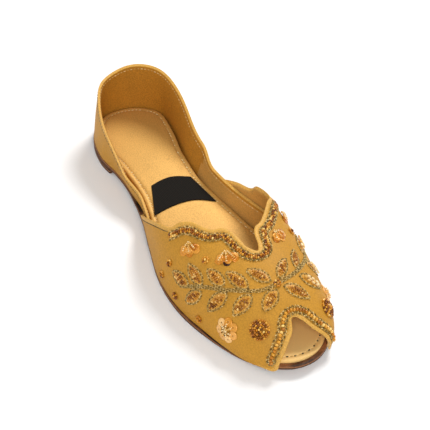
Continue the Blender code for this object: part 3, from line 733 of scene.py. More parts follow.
def plan_ring(grow, height, end=None):
    """A ring at a distance outside the sole outline, with its points paired across the shoe."""
    outline = grown_outline(grow)
    first = min(point.x for point in outline)
    last = end or max(point.x for point in outline)
    sides = {MEDIAL: [], LATERAL: []}
    for step in range(SOLE_STATIONS):
        turn = math.pi * (step + 0.5) / SOLE_STATIONS
        x = mix(first, last, (1 - math.cos(turn)) / 2)
        for side in sides:
            sides[side].append(Vector((x, edge_at(outline, x, side), height(x))))
    return sides[MEDIAL] + sides[LATERAL][::-1]


def linear(hex_colour):
    """A linear colour from an sRGB hex value."""
    parts = [int(hex_colour[index:index + 2], 16) / 255 for index in (0, 2, 4)]
    return tuple(part / 12.92 if part <= 0.04045 else ((part + 0.055) / 1.055) ** 2.4 for part in parts)


class ShoeLooks(bpy.types.PropertyGroup):
    """Colours and sizes of the shoe's finish"""

    upper_colour: bpy.props.FloatVectorProperty(
        name="Upper leather", description="Colour of the mustard upper leather", subtype="COLOR",
        size=3, min=0.0, max=1.0, default=linear("BC8629"))
    fold_colour: bpy.props.FloatVectorProperty(
        name="Folded edge", description="Colour of the lighter folded edge", subtype="COLOR",
        size=3, min=0.0, max=1.0, default=linear("D09E48"))
    lining_colour: bpy.props.FloatVectorProperty(
        name="Heel lining", description="Colour of the leather inside the heel", subtype="COLOR",
        size=3, min=0.0, max=1.0, default=linear("B87E28"))
    foil_colour: bpy.props.FloatVectorProperty(
        name="Foil leather", description="Colour of the metallic insole", subtype="COLOR",
        size=3, min=0.0, max=1.0, default=linear("D0A054"))
    sole_colour: bpy.props.FloatVectorProperty(
        name="Sole leather", description="Colour of the sole's edge", subtype="COLOR",
        size=3, min=0.0, max=1.0, default=linear("94603A"))
    thread_colour: bpy.props.FloatVectorProperty(
        name="Metal thread", description="Colour of the couched metal thread", subtype="COLOR",
        size=3, min=0.0, max=1.0, default=linear("B4944E"))
    bead_wide: bpy.props.FloatProperty(
        name="Bead", description="Width of one seed bead", unit="LENGTH", precision=4,
        min=0.0008, max=0.004, default=0.0016)
    sequin_wide: bpy.props.FloatProperty(
        name="Sequin", description="Width of one sequin", unit="LENGTH", precision=4,
        min=0.002, max=0.008, default=0.0044)
    cord_wide: bpy.props.FloatProperty(
        name="Metal cord", description="Width of one couched cord", unit="LENGTH", precision=4,
        min=0.0008, max=0.003, default=0.00145)
    grain_wide: bpy.props.FloatProperty(
        name="Leather grain", description="Width of one cell of the leather's grain", unit="LENGTH",
        precision=4, min=0.0003, max=0.003, default=0.0008)


def looks():
    return bpy.context.scene.shoe_looks


def add_node(tree, kind, values=None, links=None, stops=None, **settings):
    """Adds one node with its settings, its socket values, the links into it and a ramp's stops."""
    node = tree.nodes.new(kind)
    for name, value in settings.items():
        setattr(node, name, value)
    for index, (place, colour) in enumerate(stops or ()):
        elements = node.color_ramp.elements
        element = elements[index] if index < 2 else elements.new(place)
        element.position = place
        element.color = (*colour, 1.0)
    for socket, value in (values or {}).items():
        node.inputs[socket].default_value = value
    for socket, source in (links or {}).items():
        tree.links.new(source, node.inputs[socket])
    return node


def new_material(name, rough, metal, gloss=0.5):
    """A material with its shader, and the node tree to work in."""
    made = bpy.data.materials.new(name)
    made.use_nodes = True
    tree = made.node_tree
    shader = tree.nodes["Principled BSDF"]
    shader.inputs["Roughness"].default_value = rough
    shader.inputs["Metallic"].default_value = metal
    shader.inputs["Specular IOR Level"].default_value = gloss
    return made, tree, shader


def shaded(colour, share):
    return tuple(part * share for part in colour)


def leather(name, colour, rough, mottle, metal=0.0, relief=0.00018, grain_share=1.0):
    """Tanned goat leather: a fine cell grain, with slow patches where the dye took unevenly."""
    grain = looks().grain_wide * grain_share
    made, tree, shader = new_material(name, rough, metal, 0.25)
    place = add_node(tree, "ShaderNodeTexCoord").outputs["Object"]
    patches = add_node(tree, "ShaderNodeTexNoise",
                       {"Scale": DYE_PATCH_SCALE, "Detail": 4.0, "Roughness": 0.6}, {"Vector": place})
    speckle = add_node(tree, "ShaderNodeTexNoise", {"Scale": 1 / grain, "Detail": 1.0},
                       {"Vector": place})
    both = add_node(tree, "ShaderNodeMix", {"Factor": 0.8},
                    {"A": patches.outputs["Fac"], "B": speckle.outputs["Fac"]}, data_type="FLOAT")
    ramp = add_node(tree, "ShaderNodeValToRGB", links={"Fac": both.outputs["Result"]},
                    stops=((0.36, shaded(colour, 1 - mottle)), (0.66, shaded(colour, 1 + mottle * 0.7)),
                           (0.51, colour)))
    tree.links.new(ramp.outputs["Color"], shader.inputs["Base Color"])
    cells = add_node(tree, "ShaderNodeTexVoronoi", {"Scale": 1 / grain}, {"Vector": place},
                     feature="SMOOTH_F1")
    heights = add_node(tree, "ShaderNodeMath", {1: 0.6},
                       {0: cells.outputs["Distance"], 2: speckle.outputs["Fac"]}, operation="MULTIPLY_ADD")
    bump = add_node(tree, "ShaderNodeBump", {"Strength": 0.55, "Distance": relief},
                    {"Height": heights.outputs[0]})
    tree.links.new(bump.outputs["Normal"], shader.inputs["Normal"])
    return made


def upper_leather():
    return leather("mustard goat leather", looks().upper_colour, rough=0.62, mottle=0.14)


def fold_leather():
    """The same leather, paler where it is stretched over the fold."""
    return leather("folded goat leather", looks().fold_colour, rough=0.55, mottle=0.20)


def lining_leather():
    return leather("dyed lining leather", looks().lining_colour, rough=0.6, mottle=0.20)


def foil_leather():
    """Foil-faced leather: a soft metallic sheen over a fine grain, with painted light at the toe, paler and
    less metallic so that the shaded toe slot reads lit.
    """
    made = leather("gold foil leather", looks().foil_colour, rough=0.5, mottle=0.16, metal=FOIL_METAL,
                   relief=0.00012, grain_share=0.9)
    tree = made.node_tree
    shader = tree.nodes["Principled BSDF"]
    place = add_node(tree, "ShaderNodeTexCoord").outputs["Object"]
    along = add_node(tree, "ShaderNodeSeparateXYZ", links={"Vector": place})
    # Painted light: towards the toe the colour is mixed to pale gold and the metal lowered, in place of light
    # reaching into the toe slot
    toe = {"From Min": TOE_PAINTED_LIGHT_START, "From Max": TOE_PAINTED_LIGHT_END}
    toe_painted_light = add_node(tree, "ShaderNodeMapRange", {**toe, "To Max": TOE_PAINTED_LIGHT_SHARE},
                    {"Value": along.outputs["X"]})
    metal = add_node(tree, "ShaderNodeMapRange", {**toe, "To Min": FOIL_METAL, "To Max": TOE_PAINTED_LIGHT_METAL},
                     {"Value": along.outputs["X"]})
    colour = shader.inputs["Base Color"].links[0].from_socket
    pale = add_node(tree, "ShaderNodeMix", {"B": (*linear("F0C67E"), 1.0)},
                    {"A": colour, "Factor": toe_painted_light.outputs["Result"]}, data_type="RGBA")
    tree.links.new(pale.outputs["Result"], shader.inputs["Base Color"])
    tree.links.new(metal.outputs["Result"], shader.inputs["Metallic"])
    return made


def cut_leather():
    """Raw cut edge of the leather, pale where the dye doesn't reach."""
    return leather("raw cut leather", linear("D8BE8E"), rough=0.8, mottle=0.18, relief=0.0002)


def sole_leather():
    """Vegetable-tanned sole leather, its edge cut, stained and burnished in layers."""
    made = leather("stained sole leather", looks().sole_colour, rough=0.55, mottle=0.25, relief=0.0002)
    tree = made.node_tree
    shader = tree.nodes["Principled BSDF"]
    place = add_node(tree, "ShaderNodeTexCoord").outputs["Object"]
    layers = add_node(tree, "ShaderNodeTexWave",
                      {"Scale": SOLE_LAYER_SCALE, "Distortion": 1.5, "Detail": 2.0},
                      {"Vector": place}, bands_direction="Z")
    colour = shader.inputs["Base Color"].links[0].from_socket
    dark = add_node(tree, "ShaderNodeMix", {"Factor": 0.28, "B": (*linear("2E1A10"), 1.0)}, {"A": colour},
                    data_type="RGBA", blend_type="MULTIPLY")
    tree.links.new(layers.outputs["Fac"], dark.inputs["Factor"])
    tree.links.new(dark.outputs["Result"], shader.inputs["Base Color"])
    return made


def label_cloth():
    """Black woven label cloth: a plain weave, its threads drawn 1 mm apart so that they show."""
    made, tree, shader = new_material("black woven cloth", 0.9, 0.0, 0.15)
    place = add_node(tree, "ShaderNodeTexCoord").outputs["Object"]
    warp, weft = (add_node(tree, "ShaderNodeTexWave", {"Scale": WEAVE_SCALE, "Distortion": 0.3},
                           {"Vector": place}, bands_direction=run) for run in "XY")
    weave = add_node(tree, "ShaderNodeMath", links={0: warp.outputs["Fac"], 1: weft.outputs["Fac"]},
                     operation="MULTIPLY")
    ramp = add_node(tree, "ShaderNodeValToRGB", links={"Fac": weave.outputs[0]},
                    stops=((0.0, linear("0D0B08")), (1.0, linear("2B2620"))))
    tree.links.new(ramp.outputs["Color"], shader.inputs["Base Color"])
    bump = add_node(tree, "ShaderNodeBump", {"Strength": 0.6, "Distance": 0.0002},
                    {"Height": weave.outputs[0]})
    tree.links.new(bump.outputs["Normal"], shader.inputs["Normal"])
    return made


def tinted(name, stops, rough, metal=0.0, coat=0.0):
    """A finish whose colour changes from copy to copy, read from each copy's tint."""
    made, tree, shader = new_material(name, rough, metal, 0.3)
    tint = add_node(tree, "ShaderNodeAttribute", attribute_name="tint")
    ramp = add_node(tree, "ShaderNodeValToRGB", links={"Fac": tint.outputs["Fac"]},
                    stops=(stops[0], stops[-1], *stops[1:-1]))
    tree.links.new(ramp.outputs["Color"], shader.inputs["Base Color"])
    shader.inputs["Coat Weight"].default_value = coat
    return made


def metal_thread():
    """Drawn gilt wire over a thread core: small bright and dark turns side by side, the dark stops being
    painted shade for the shadows between turns.
    """
    colour = looks().thread_colour
    return tinted("gilt zari thread", ((0.0, shaded(colour, 0.22)), (0.3, shaded(colour, 0.55)),
                                       (0.6, colour), (1.0, linear("DCC080"))),
                  rough=0.5, metal=0.2)


def amber_glass():
    """Pressed amber glass, from honey to dark brown."""
    return tinted("amber glass beads", ((0.0, linear("5A2A08")), (0.3, linear("94520F")),
                                        (0.6, linear("C8801E")), (0.85, linear("E2A236")),
                                        (1.0, linear("F6D27C"))), rough=0.26, coat=0.1)


def copper_glass():
    """Copper-lined seed beads."""
    return tinted("copper lined beads", ((0.0, linear("74400A")), (0.4, linear("A8671A")),
                                         (0.8, linear("CC8C2E")), (1.0, linear("F0C474"))),
                  rough=0.26, coat=0.1)


def pearl_glass():
    """Cream and pale gold seed beads on the flowers."""
    return tinted("pale gold beads", ((0.0, linear("C88C34")), (0.45, linear("E2B05A")),
                                      (1.0, linear("F6DEAA"))), rough=0.26, coat=0.1)


def sequin_film():
    """Domed peach film sequins, a plastic with a metallic face."""
    return tinted("peach sequin film", ((0.0, linear("3A1A05")), (0.3, linear("BE6E12")),
                                        (0.65, linear("DC9430")), (1.0, linear("F2C07A"))),
                  rough=0.3, metal=0.15, coat=0.1)


def satin_silk():
    """Floss silk laid flat under the leaves' beads: fine parallel threads with a bright lie."""
    made, tree, shader = new_material("floss silk", 0.42, 0.0, 0.4)
    place = add_node(tree, "ShaderNodeTexCoord").outputs["Object"]
    threads = add_node(tree, "ShaderNodeTexNoise", {"Scale": SILK_SCALE, "Detail": 2.0}, {"Vector": place})
    ramp = add_node(tree, "ShaderNodeValToRGB", links={"Fac": threads.outputs["Fac"]},
                    stops=((0.35, linear("B47C20")), (0.65, linear("DCA03A"))))
    tree.links.new(ramp.outputs["Color"], shader.inputs["Base Color"])
    bump = add_node(tree, "ShaderNodeBump", {"Strength": 0.5, "Distance": 0.0001},
                    {"Height": threads.outputs["Fac"]})
    tree.links.new(bump.outputs["Normal"], shader.inputs["Normal"])
    return made


def cotton_thread():
    """Waxed cotton sewing thread."""
    return tinted("waxed cotton thread", ((0.0, linear("C49A50")), (1.0, linear("F0D8A0"))), rough=0.7)


def dark_thread():
    return tinted("dark couching thread", ((0.0, linear("4B3A1C")), (1.0, linear("8A744A"))),
                  rough=0.6, metal=0.2)


def clear_selection():
    """CAD nodes come in selected, and an operator acts on all that is selected."""
    if bpy.context.object and bpy.context.object.mode != "OBJECT":
        bpy.ops.object.mode_set(mode="OBJECT")
    bpy.ops.object.select_all(action="DESELECT")


def pick(thing):
    clear_selection()
    thing.select_set(True)
    bpy.context.view_layer.objects.active = thing


def take_pattern(name):
    """The mesh of the piece just modelled, kept as the pattern for its copies."""
    thing = bpy.context.object
    bpy.ops.object.transform_apply(location=True, rotation=True, scale=True)
    mesh = thing.data
    mesh.name = name
    bpy.data.objects.remove(thing)
    return mesh


def bead_pattern():
    """A round bead, one unit across, with its hole along X."""
    clear_selection()
    bpy.ops.mesh.primitive_torus_add(major_segments=10, minor_segments=6, major_radius=0.29,
                                     minor_radius=0.21, rotation=(0, math.pi / 2, 0))
    bpy.context.object.scale = (1.0, 1.0, 1.7)
    return take_pattern("bead")


def grain_pattern():
    """A rounded turn of metal thread, one unit across."""
    clear_selection()
    bpy.ops.mesh.primitive_uv_sphere_add(segments=8, ring_count=5, radius=0.5, rotation=(0, math.pi / 2, 0))
    return take_pattern("thread turn")


def sequin_pattern():
    """A faintly domed disc, one unit across, with a hole in the middle."""
    clear_selection()
    bpy.ops.mesh.primitive_circle_add(vertices=14, radius=0.5, fill_type="NGON")
    bpy.ops.object.mode_set(mode="EDIT")
    bpy.ops.mesh.select_all(action="SELECT")
    bpy.ops.mesh.inset(thickness=0.13)
    bpy.ops.transform.translate(value=(0, 0, 0.03))
    bpy.ops.mesh.inset(thickness=0.29)
    bpy.ops.transform.translate(value=(0, 0, 0.02))
    bpy.ops.mesh.delete(type="FACE")
    bpy.ops.object.mode_set(mode="OBJECT")
    thick = bpy.context.object.modifiers.new("film", "SOLIDIFY")
    thick.thickness = 0.035
    bpy.ops.object.modifier_apply(modifier="film")
    return take_pattern("sequin")


def linked(name, mesh, finishes, nodes):
    """Puts a finished mesh in the scene as a piece that rides on the shoe."""
    for finish in finishes:
        mesh.materials.append(finish)
    thing = bpy.data.objects.new(name, mesh)
    bpy.context.scene.collection.objects.link(thing)
    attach(thing, "root")
    if nodes:
        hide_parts(*nodes)
    return thing


def scattered(name, pattern, places, finish, nodes=()):
    """One mesh of many copies of a pattern; places are pairs of a matrix and a tint."""
    shape = [vert.co.copy() for vert in pattern.vertices]
    outline = [tuple(face.vertices) for face in pattern.polygons]
    points, faces, tints = [], [], []
    for matrix, tint in places:
        first = len(points)
        points.extend(matrix @ point for point in shape)
        faces.extend(tuple(first + corner for corner in face) for face in outline)
        tints.extend([tint] * len(outline))
    mesh = bpy.data.meshes.new(name)
    mesh.from_pydata(points, [], faces)
    mesh.attributes.new("tint", "FLOAT", "FACE").data.foreach_set("value", tints)
    mesh.shade_smooth()
    return linked(name, mesh, [finish], nodes)


def tree_of(name):
    """The faces of a finished piece, for finding the leather under a bead or a stitch."""
    return BVHTree.FromObject(bpy.data.objects[name], bpy.context.evaluated_depsgraph_get())


def seated(tree, point, ahead, size, lift, aside=0.0, turn=0.0, lean=0.0):
    """Places a pattern on the leather near a point: turned from ahead, leaned, and lifted off it."""
    near, out, _, _ = tree.find_nearest(point)
    ahead = (ahead - out * ahead.dot(out)).normalized()
    side = out.cross(ahead)
    along = ahead * math.cos(turn) + side * math.sin(turn)
    flank = out.cross(along)
    tilted = along * math.cos(lean) + out * math.sin(lean)
    up = tilted.cross(flank)
    spot = near + side * aside + out * lift
    columns = (tilted * size.x, flank * size.y, up * size.z)
    return Matrix([[column[row] for column in columns] + [spot[row]] for row in range(3)] + [[0, 0, 0, 1]])


def vamp_line(line):
    """Points on the front piece's face along a line of spots, in the shoe's frame."""
    return [vamp_point(spot.x, spot.y) + FOOTPRINT_SHIFT for spot in line]


def evenly(points, spacing):
    """Places at even steps along a line of points, each with its direction."""
    places = []
    travelled, wanted = 0.0, spacing / 2
    for start, end in zip(points, points[1:]):
        step = end - start
        while step.length > 0 and wanted <= travelled + step.length:
            places.append((start + step * ((wanted - travelled) / step.length), step.normalized()))
            wanted += spacing
        travelled += step.length
    return places


def sheet_mesh(name, grid, face_slot):
    """A mesh over a grid of points, its faces given a material by their row and column."""
    columns = len(grid[0])
    points = [point + FOOTPRINT_SHIFT for row in grid for point in row]
    faces, slots = [], []
    for row in range(len(grid) - 1):
        for column in range(columns - 1):
            corner = row * columns + column
            faces.append((corner, corner + columns, corner + columns + 1, corner + 1))
            slots.append(face_slot(row, column))
    mesh = bpy.data.meshes.new(name)
    mesh.from_pydata(points, [], faces)
    mesh.polygons.foreach_set("material_index", slots)
    return mesh


def thicken(thing, wall, inner_step, rim_step):
    """Gives an outer sheet its leather wall on the inside, with a softly rounded edge."""
    pick(thing)
    wall_modifier = thing.modifiers.new("wall", "SOLIDIFY")
    wall_modifier.thickness = wall
    wall_modifier.offset = -1.0
    wall_modifier.material_offset = inner_step
    wall_modifier.material_offset_rim = rim_step
    soft = thing.modifiers.new("soft edge", "BEVEL")
    soft.width = CORNER_ROUND
    soft.segments = 2
    soft.limit_method = "ANGLE"
    soft.angle_limit = CORNER_ANGLE
    bpy.ops.object.modifier_apply(modifier="wall")
    bpy.ops.object.modifier_apply(modifier="soft edge")
    bpy.ops.object.shade_smooth_by_angle(angle=LEATHER_SMOOTH)


def dent_places():
    """Each dent's middle, the directions along and across it, and its table row."""
    places = []
    for dent in DENTS:
        x = dent.along * SOLE_LENGTH
        forward = vamp_slopes(x, dent.round)[0].normalized()
        side = vamp_out(x, dent.round).cross(forward)
        run = forward * math.cos(dent.turn) + side * math.sin(dent.turn)
        places.append((vamp_point(x, dent.round), run, dent))
    return places


def dent_depth(here, places):
    """How far the leather is pressed in by its soft dents."""
    depth = 0.0
    for middle, run, dent in places:
        away = here - middle
        if away.length < 3 * dent.long:
            length = away.dot(run) / dent.long
            width = (away - run * away.dot(run)).length / dent.wide
            depth += dent.deep * math.exp(-length * length - width * width)
    return depth


def vamp_spot(high, low, share):
    """A place between the topline and the foot line."""
    side = MEDIAL if low.y >= 0 else LATERAL
    edge = Vector((low.x, side * min(1.0, abs(low.y))))
    spot = mix(high, edge, share)
    spot.y += (low.y - edge.y) * share ** HANG_POWER
    return spot


def evened(values, passes):
    """A row of values smoothed along itself."""
    for smoothing in range(passes):
        inner = [(before + value * 2 + after) / 4
                 for before, value, after in zip(values, values[1:], values[2:])]
        values = values[:1] + inner + values[-1:]
    return values


def edge_sines(edge, inward):
    """How squarely the columns leave an edge: 1 where they are at right angles to it."""
    sines = []
    for index, start in enumerate(edge):
        run = edge[min(index + 1, len(edge) - 1)] - edge[max(index - 1, 0)]
        sines.append(max(LEAST_SINE, run.normalized().cross((inward[index] - start).normalized()).length))
    return evened(sines, 4)


def vamp_rows():
    """Rows of spots over the front piece, from its topline to its foot, each with its lifts."""
    top, foot = edge_curves(LEATHER_SPLITS)
    shares = [1 - (1 - step / COLUMN_SAMPLES) ** ROW_CROWDING for step in range(COLUMN_SAMPLES + 1)]
    columns, lengths = [], []
    for high, low in zip(top, foot):
        column = [vamp_point(*vamp_spot(high, low, share)) for share in shares]
        columns.append(column)
        length = [0.0]
        for start, end in zip(column, column[1:]):
            length.append(length[-1] + (end - start).length)
        lengths.append(length)
    top_sines = edge_sines([column[0] for column in columns], [column[2] for column in columns])
    foot_sines = edge_sines([column[-1] for column in columns], [column[-3] for column in columns])
    fold_wide = FOLD_STEPS[-1].distance
    rooms = [min(1.0, FOLD_ROOM * length[-1] / fold_wide) for length in lengths]

    def row_at(distances, lifts):
        line = []
        for high, low, length, distance in zip(top, foot, lengths, distances):
            index = 0
            while index < COLUMN_SAMPLES - 1 and length[index + 1] < distance:
                index += 1
            part = (distance - length[index]) / (length[index + 1] - length[index])
            line.append(vamp_spot(high, low, mix(shares[index], shares[index + 1], min(1.0, max(0.0, part)))))
        return line, lifts

    uppers = [[step.distance * room / sine for room, sine in zip(rooms, top_sines)] for step in FOLD_STEPS]
    lowers = [[length[-1] - step.distance * room / sine
               for length, room, sine in zip(lengths, rooms, foot_sines)] for step in FOLD_STEPS]
    slot = [1.0 if abs(spot.y) < SLOT_FOLD_ROUND
            else ease(SLOT_FOLD_START, SLOT_FOLD_END, spot.x / SOLE_LENGTH) for spot in foot]
    rows = [row_at(distances, [step.lift * room for room in rooms])
            for distances, step in zip(uppers, FOLD_STEPS)]
    for step in range(1, LEATHER_ROWS):
        share = step / LEATHER_ROWS
        rows.append(row_at([mix(upper, lower, share) for upper, lower in zip(uppers[-1], lowers[-1])],
                           [0.0] * len(top)))
    rows += [row_at(distances, [step.lift * part for part in slot])
             for distances, step in zip(lowers[::-1], FOLD_STEPS[::-1])]
    return rows, slot


def ground(x):
    return 0.0


# Profiles of the plates' edges, from the underside up: how far each ring lies outside the plate's
# outline, and how high above a face
Ring = namedtuple("Ring", "out face high")
SOLE_RINGS = (
    Ring(-1.2 * MM, sole_underside, 0.0),
    Ring(-EDGE_ROUND, sole_underside, 0.05 * MM),
    Ring(-0.1 * MM, sole_underside, 0.35 * MM),
    Ring(0.0, sole_underside, EDGE_ROUND),
    Ring(0.0, sole_underside, 1.1 * MM),
    Ring(-0.18 * MM, sole_underside, 1.3 * MM),
    Ring(0.0, sole_underside, 1.5 * MM),
    Ring(0.0, sole_top, -EDGE_ROUND),
    Ring(-0.15 * MM, sole_top, -0.2 * MM),
    Ring(-WELT_STEP, sole_top, 0.0),
)
HEEL_RINGS = (
    Ring(-EDGE_ROUND, ground, 0.0),
    Ring(-0.1 * MM, ground, 0.25 * MM),
    Ring(0.0, ground, EDGE_ROUND),
    Ring(0.0, ground, 1.55 * MM),
    Ring(-0.15 * MM, ground, 1.7 * MM),
    Ring(0.0, ground, 1.85 * MM),
    Ring(0.0, ground, HEEL_LIFT_HIGH - 0.2 * MM),
    Ring(-0.2 * MM, ground, HEEL_LIFT_HIGH),
)
# The groove near the end of the list holds the seam
INSOLE_RINGS = (
    Ring(-0.3 * MM, sole_top, GAP),
    Ring(0.0, sole_top, 0.8 * MM),
    Ring(0.0, insole_top, -0.9 * MM),
    Ring(-0.2 * MM, insole_top, -0.35 * MM),
    Ring(-0.6 * MM, insole_top, -0.05 * MM),
    Ring(-1.1 * MM, insole_top, 0.05 * MM),
    Ring(-2.2 * MM, insole_top, 0.05 * MM),
    Ring(-2.7 * MM, insole_top, -0.05 * MM),
    Ring(-2.95 * MM, insole_top, -0.22 * MM),
    Ring(-3.15 * MM, insole_top, -0.22 * MM),
    Ring(-3.4 * MM, insole_top, 0.05 * MM),
    Ring(-3.9 * MM, insole_top, 0.28 * MM),
    Ring(-4.8 * MM, insole_top, 0.42 * MM),
    Ring(-6.5 * MM, insole_top, RIM_STEP),
)


def welt_shown(x):
    return WELT_SHOWS * ease(WELT_SHOWS_START, WELT_SHOWS_END, x / SOLE_LENGTH)


class SHOE_OT_sole(bpy.types.Operator):
    """Makes the sole, the heel lift and the insole"""

    bl_idname = "shoe.make_sole"
    bl_label = "Sole and insole"

    def execute(self, context):
        stain = sole_leather()
        self.plate("sole", "outsole", "sole_leather", stain, SOLE_RINGS, welt_shown)
        self.plate("heel_stack", "heel_lift", "heel_leather", stain, HEEL_RINGS, lambda x: 0.0,
                   end=HEEL_LIFT_LONG)
        self.plate("insole_foil", "insole", "foil_leather", foil_leather(), INSOLE_RINGS,
                   lambda x: -insole_inset(x))
        return {"FINISHED"}

    def plate(self, name, node, slot, finish, profile, grow, end=None):
        """A closed plate through rings round the sole's outline, which grow moves outwards."""
        rings = [plan_ring(lambda x: grow(x) + ring.out, lambda x: ring.face(x) + ring.high, end)
                 for ring in profile]
        count = len(rings[0])
        points = [point + FOOTPRINT_SHIFT for ring in rings for point in ring]
        faces = []
        for ring in range(len(rings) - 1):
            for index in range(count):
                after = (index + 1) % count
                low, high = ring * count, (ring + 1) * count
                faces.append((low + index, low + after, high + after, high + index))
        top = (len(rings) - 1) * count
        for index in range(count // 2 - 1):
            faces.append((index + 1, index, count - index - 1, count - index - 2))
            faces.append((top + index, top + index + 1, top + count - index - 2, top + count - index - 1))
        mesh = bpy.data.meshes.new(name)
        mesh.from_pydata(points, [], faces)
        pick(linked(name, mesh, [finish], [node]))
        bpy.ops.object.mode_set(mode="EDIT")
        bpy.ops.mesh.select_all(action="SELECT")
        bpy.ops.mesh.normals_make_consistent(inside=False)
        bpy.ops.object.mode_set(mode="OBJECT")
        bpy.ops.object.shade_smooth_by_angle(angle=PLATE_SMOOTH)


class SHOE_OT_upper(bpy.types.Operator):
    """Makes the scalloped front piece and the heel piece, with folded and cut edges"""

    bl_idname = "shoe.make_upper"
    bl_label = "Upper leather"

    def execute(self, context):
        skin, fold, foil, lining, cut = (upper_leather(), fold_leather(), foil_leather(),
                                         lining_leather(), cut_leather())
        self.front_piece([skin, fold, foil, foil, cut])
        self.heel_piece([skin, fold, lining, lining, fold, foil])
        return {"FINISHED"}

    def front_piece(self, finishes):
        rows, slot = vamp_rows()
        folds = len(FOLD_STEPS) - 1
        last = len(rows) - 1
        dents = dent_places()
        grid = []
        for line, lifts in rows:
            points = []
            for spot, lift in zip(line, lifts):
                point = vamp_point(spot.x, spot.y)
                points.append(point + vamp_out(spot.x, spot.y) * (lift - dent_depth(point, dents)))
            grid.append(points)

        def face_slot(row, column):
            folded = row < folds or (row >= last - folds and slot[column] > 0.5)
            return FOLDED if folded else SKIN

        mesh = sheet_mesh("vamp_leather", grid, face_slot)
        thing = linked("vamp_leather", mesh, finishes, ["vamp"])
        thicken(thing, VAMP_WALL, INSIDE_AFTER, RIM_AFTER)
        raw_start = RAW_EDGE_START * SOLE_LENGTH + FOOTPRINT_SHIFT.x
        for face in thing.data.polygons:
            if face.material_index == FOLDED + RIM_AFTER and face.center.x < raw_start:
                face.material_index = FOLDED

    def heel_piece(self, finishes):
        shares = [step / QUARTER_COLUMNS for step in range(QUARTER_COLUMNS + 1)]
        draws = [top_draw(share) for share in shares]
        spans = [(quarter_point(share, 1.0, draw) - quarter_point(share, 0.0, draw)).length
                 for share, draw in zip(shares, draws)]
        fold_wide = HEEL_FOLD_STEPS[-1].distance
        rows = [([row / QUARTER_ROWS * (1 - fold_wide / span) for span in spans], 0.0)
                for row in range(QUARTER_ROWS)]
        rows += [([1 - step.distance / span for span in spans], step.lift)
                 for step in reversed(HEEL_FOLD_STEPS)]
        grid = []
        for rises, lift in rows:
            line = []
            for share, rise, draw in zip(shares, rises, draws):
                out = quarter_station(share)[1]
                line.append(quarter_point(share, rise, draw) + Vector((out.x, out.y, 0.0)) * lift)
            grid.append(line)
        mesh = sheet_mesh("heel_leather", grid,
                          lambda row, column: FOLDED if row >= QUARTER_ROWS else SKIN)
        thing = linked("heel_leather", mesh, finishes, ["quarter"])
        thicken(thing, QUARTER_WALL, INSIDE_AFTER, RIM_AFTER)
        foil_start = HEEL_FOIL_START * SOLE_LENGTH + FOOTPRINT_SHIFT.x
        for face in thing.data.polygons:
            if face.material_index == SKIN + INSIDE_AFTER and face.center.x > foil_start:
                face.material_index = len(finishes) - 1


class SHOE_OT_label(bpy.types.Operator):
    """Makes the bare black cloth patch on the insole"""

    bl_idname = "shoe.make_label"
    bl_label = "Cloth patch"

    def execute(self, context):
        heel = open_curve([Vector((row.heel_along * SOLE_LENGTH, row.heel_aside * WAIST_WIDTH))
                           for row in PATCH_STEPS], PATCH_SPLITS)
        toe = open_curve([Vector((row.toe_along * SOLE_LENGTH, row.toe_aside * WAIST_WIDTH))
                          for row in PATCH_STEPS], PATCH_SPLITS)
        grid = []
        for row in range(PATCH_ROWS + 1):
            line = [mix(back, front, row / PATCH_ROWS) for back, front in zip(heel, toe)]
            grid.append([Vector((point.x, point.y, insole_top(point.x) + RIM_STEP + GAP + PATCH_THICK))
                         for point in line])
        mesh = sheet_mesh("label_cloth", grid, lambda row, column: 0)
        area = sum(face.area for face in mesh.polygons)
        thing = linked("label_cloth", mesh, [label_cloth()], ["label_patch"])
        thicken(thing, PATCH_THICK + GAP, 0, 0)
        return {"FINISHED"}


class Embroidery:
    """What the embroidery operators share: the leather to sit on, patterns and seeded chance."""

    def begin(self, seed):
        self.leather = tree_of("vamp_leather")
        self.chance = random.Random(seed)
        self.bead = bead_pattern()
        self.turn_of_thread = grain_pattern()

    def end(self):
        bpy.data.meshes.remove(self.bead)
        bpy.data.meshes.remove(self.turn_of_thread)

    def cord(self, points, wide, places):
        """Adds a braided metal cord along points: short turns of thread that cross its middle."""
        size = Vector([part * wide for part in CORD_TURN])
        for index, (point, ahead) in enumerate(evenly(points, wide * CORD_TURN[1])):
            side = 1 if index % 2 else -1
            # Every third turn is tinted dark: painted shade for the shadows in the gaps between turns
            tint = self.chance.uniform(0.0, 0.3) if index % 3 == 0 else self.chance.uniform(0.45, 1.0)
            places.append((seated(self.leather, point, ahead, size, wide * CORD_LIFT,
                                  aside=side * wide * CORD_ASIDE, turn=-side * CORD_SLANT), tint))

    def beads(self, points, wide, places, spacing, scatter=0.0, low=0.0, long=1.0, lift=0.0):
        """Adds a string of beads along points, as tinted copies no darker than low."""
        for point, ahead in evenly(points, wide * spacing * long):
            size = Vector((long, 1, 1)) * wide * self.chance.uniform(0.9, 1.08)
            aside = self.chance.uniform(-scatter, scatter)
            turn = self.chance.uniform(-0.5, 0.5) * (1 + scatter / wide)
            places.append((seated(self.leather, point, ahead, size, wide * BEAD_LIFT + lift,
                                  aside=aside, turn=turn), self.chance.uniform(low, 1.0)))


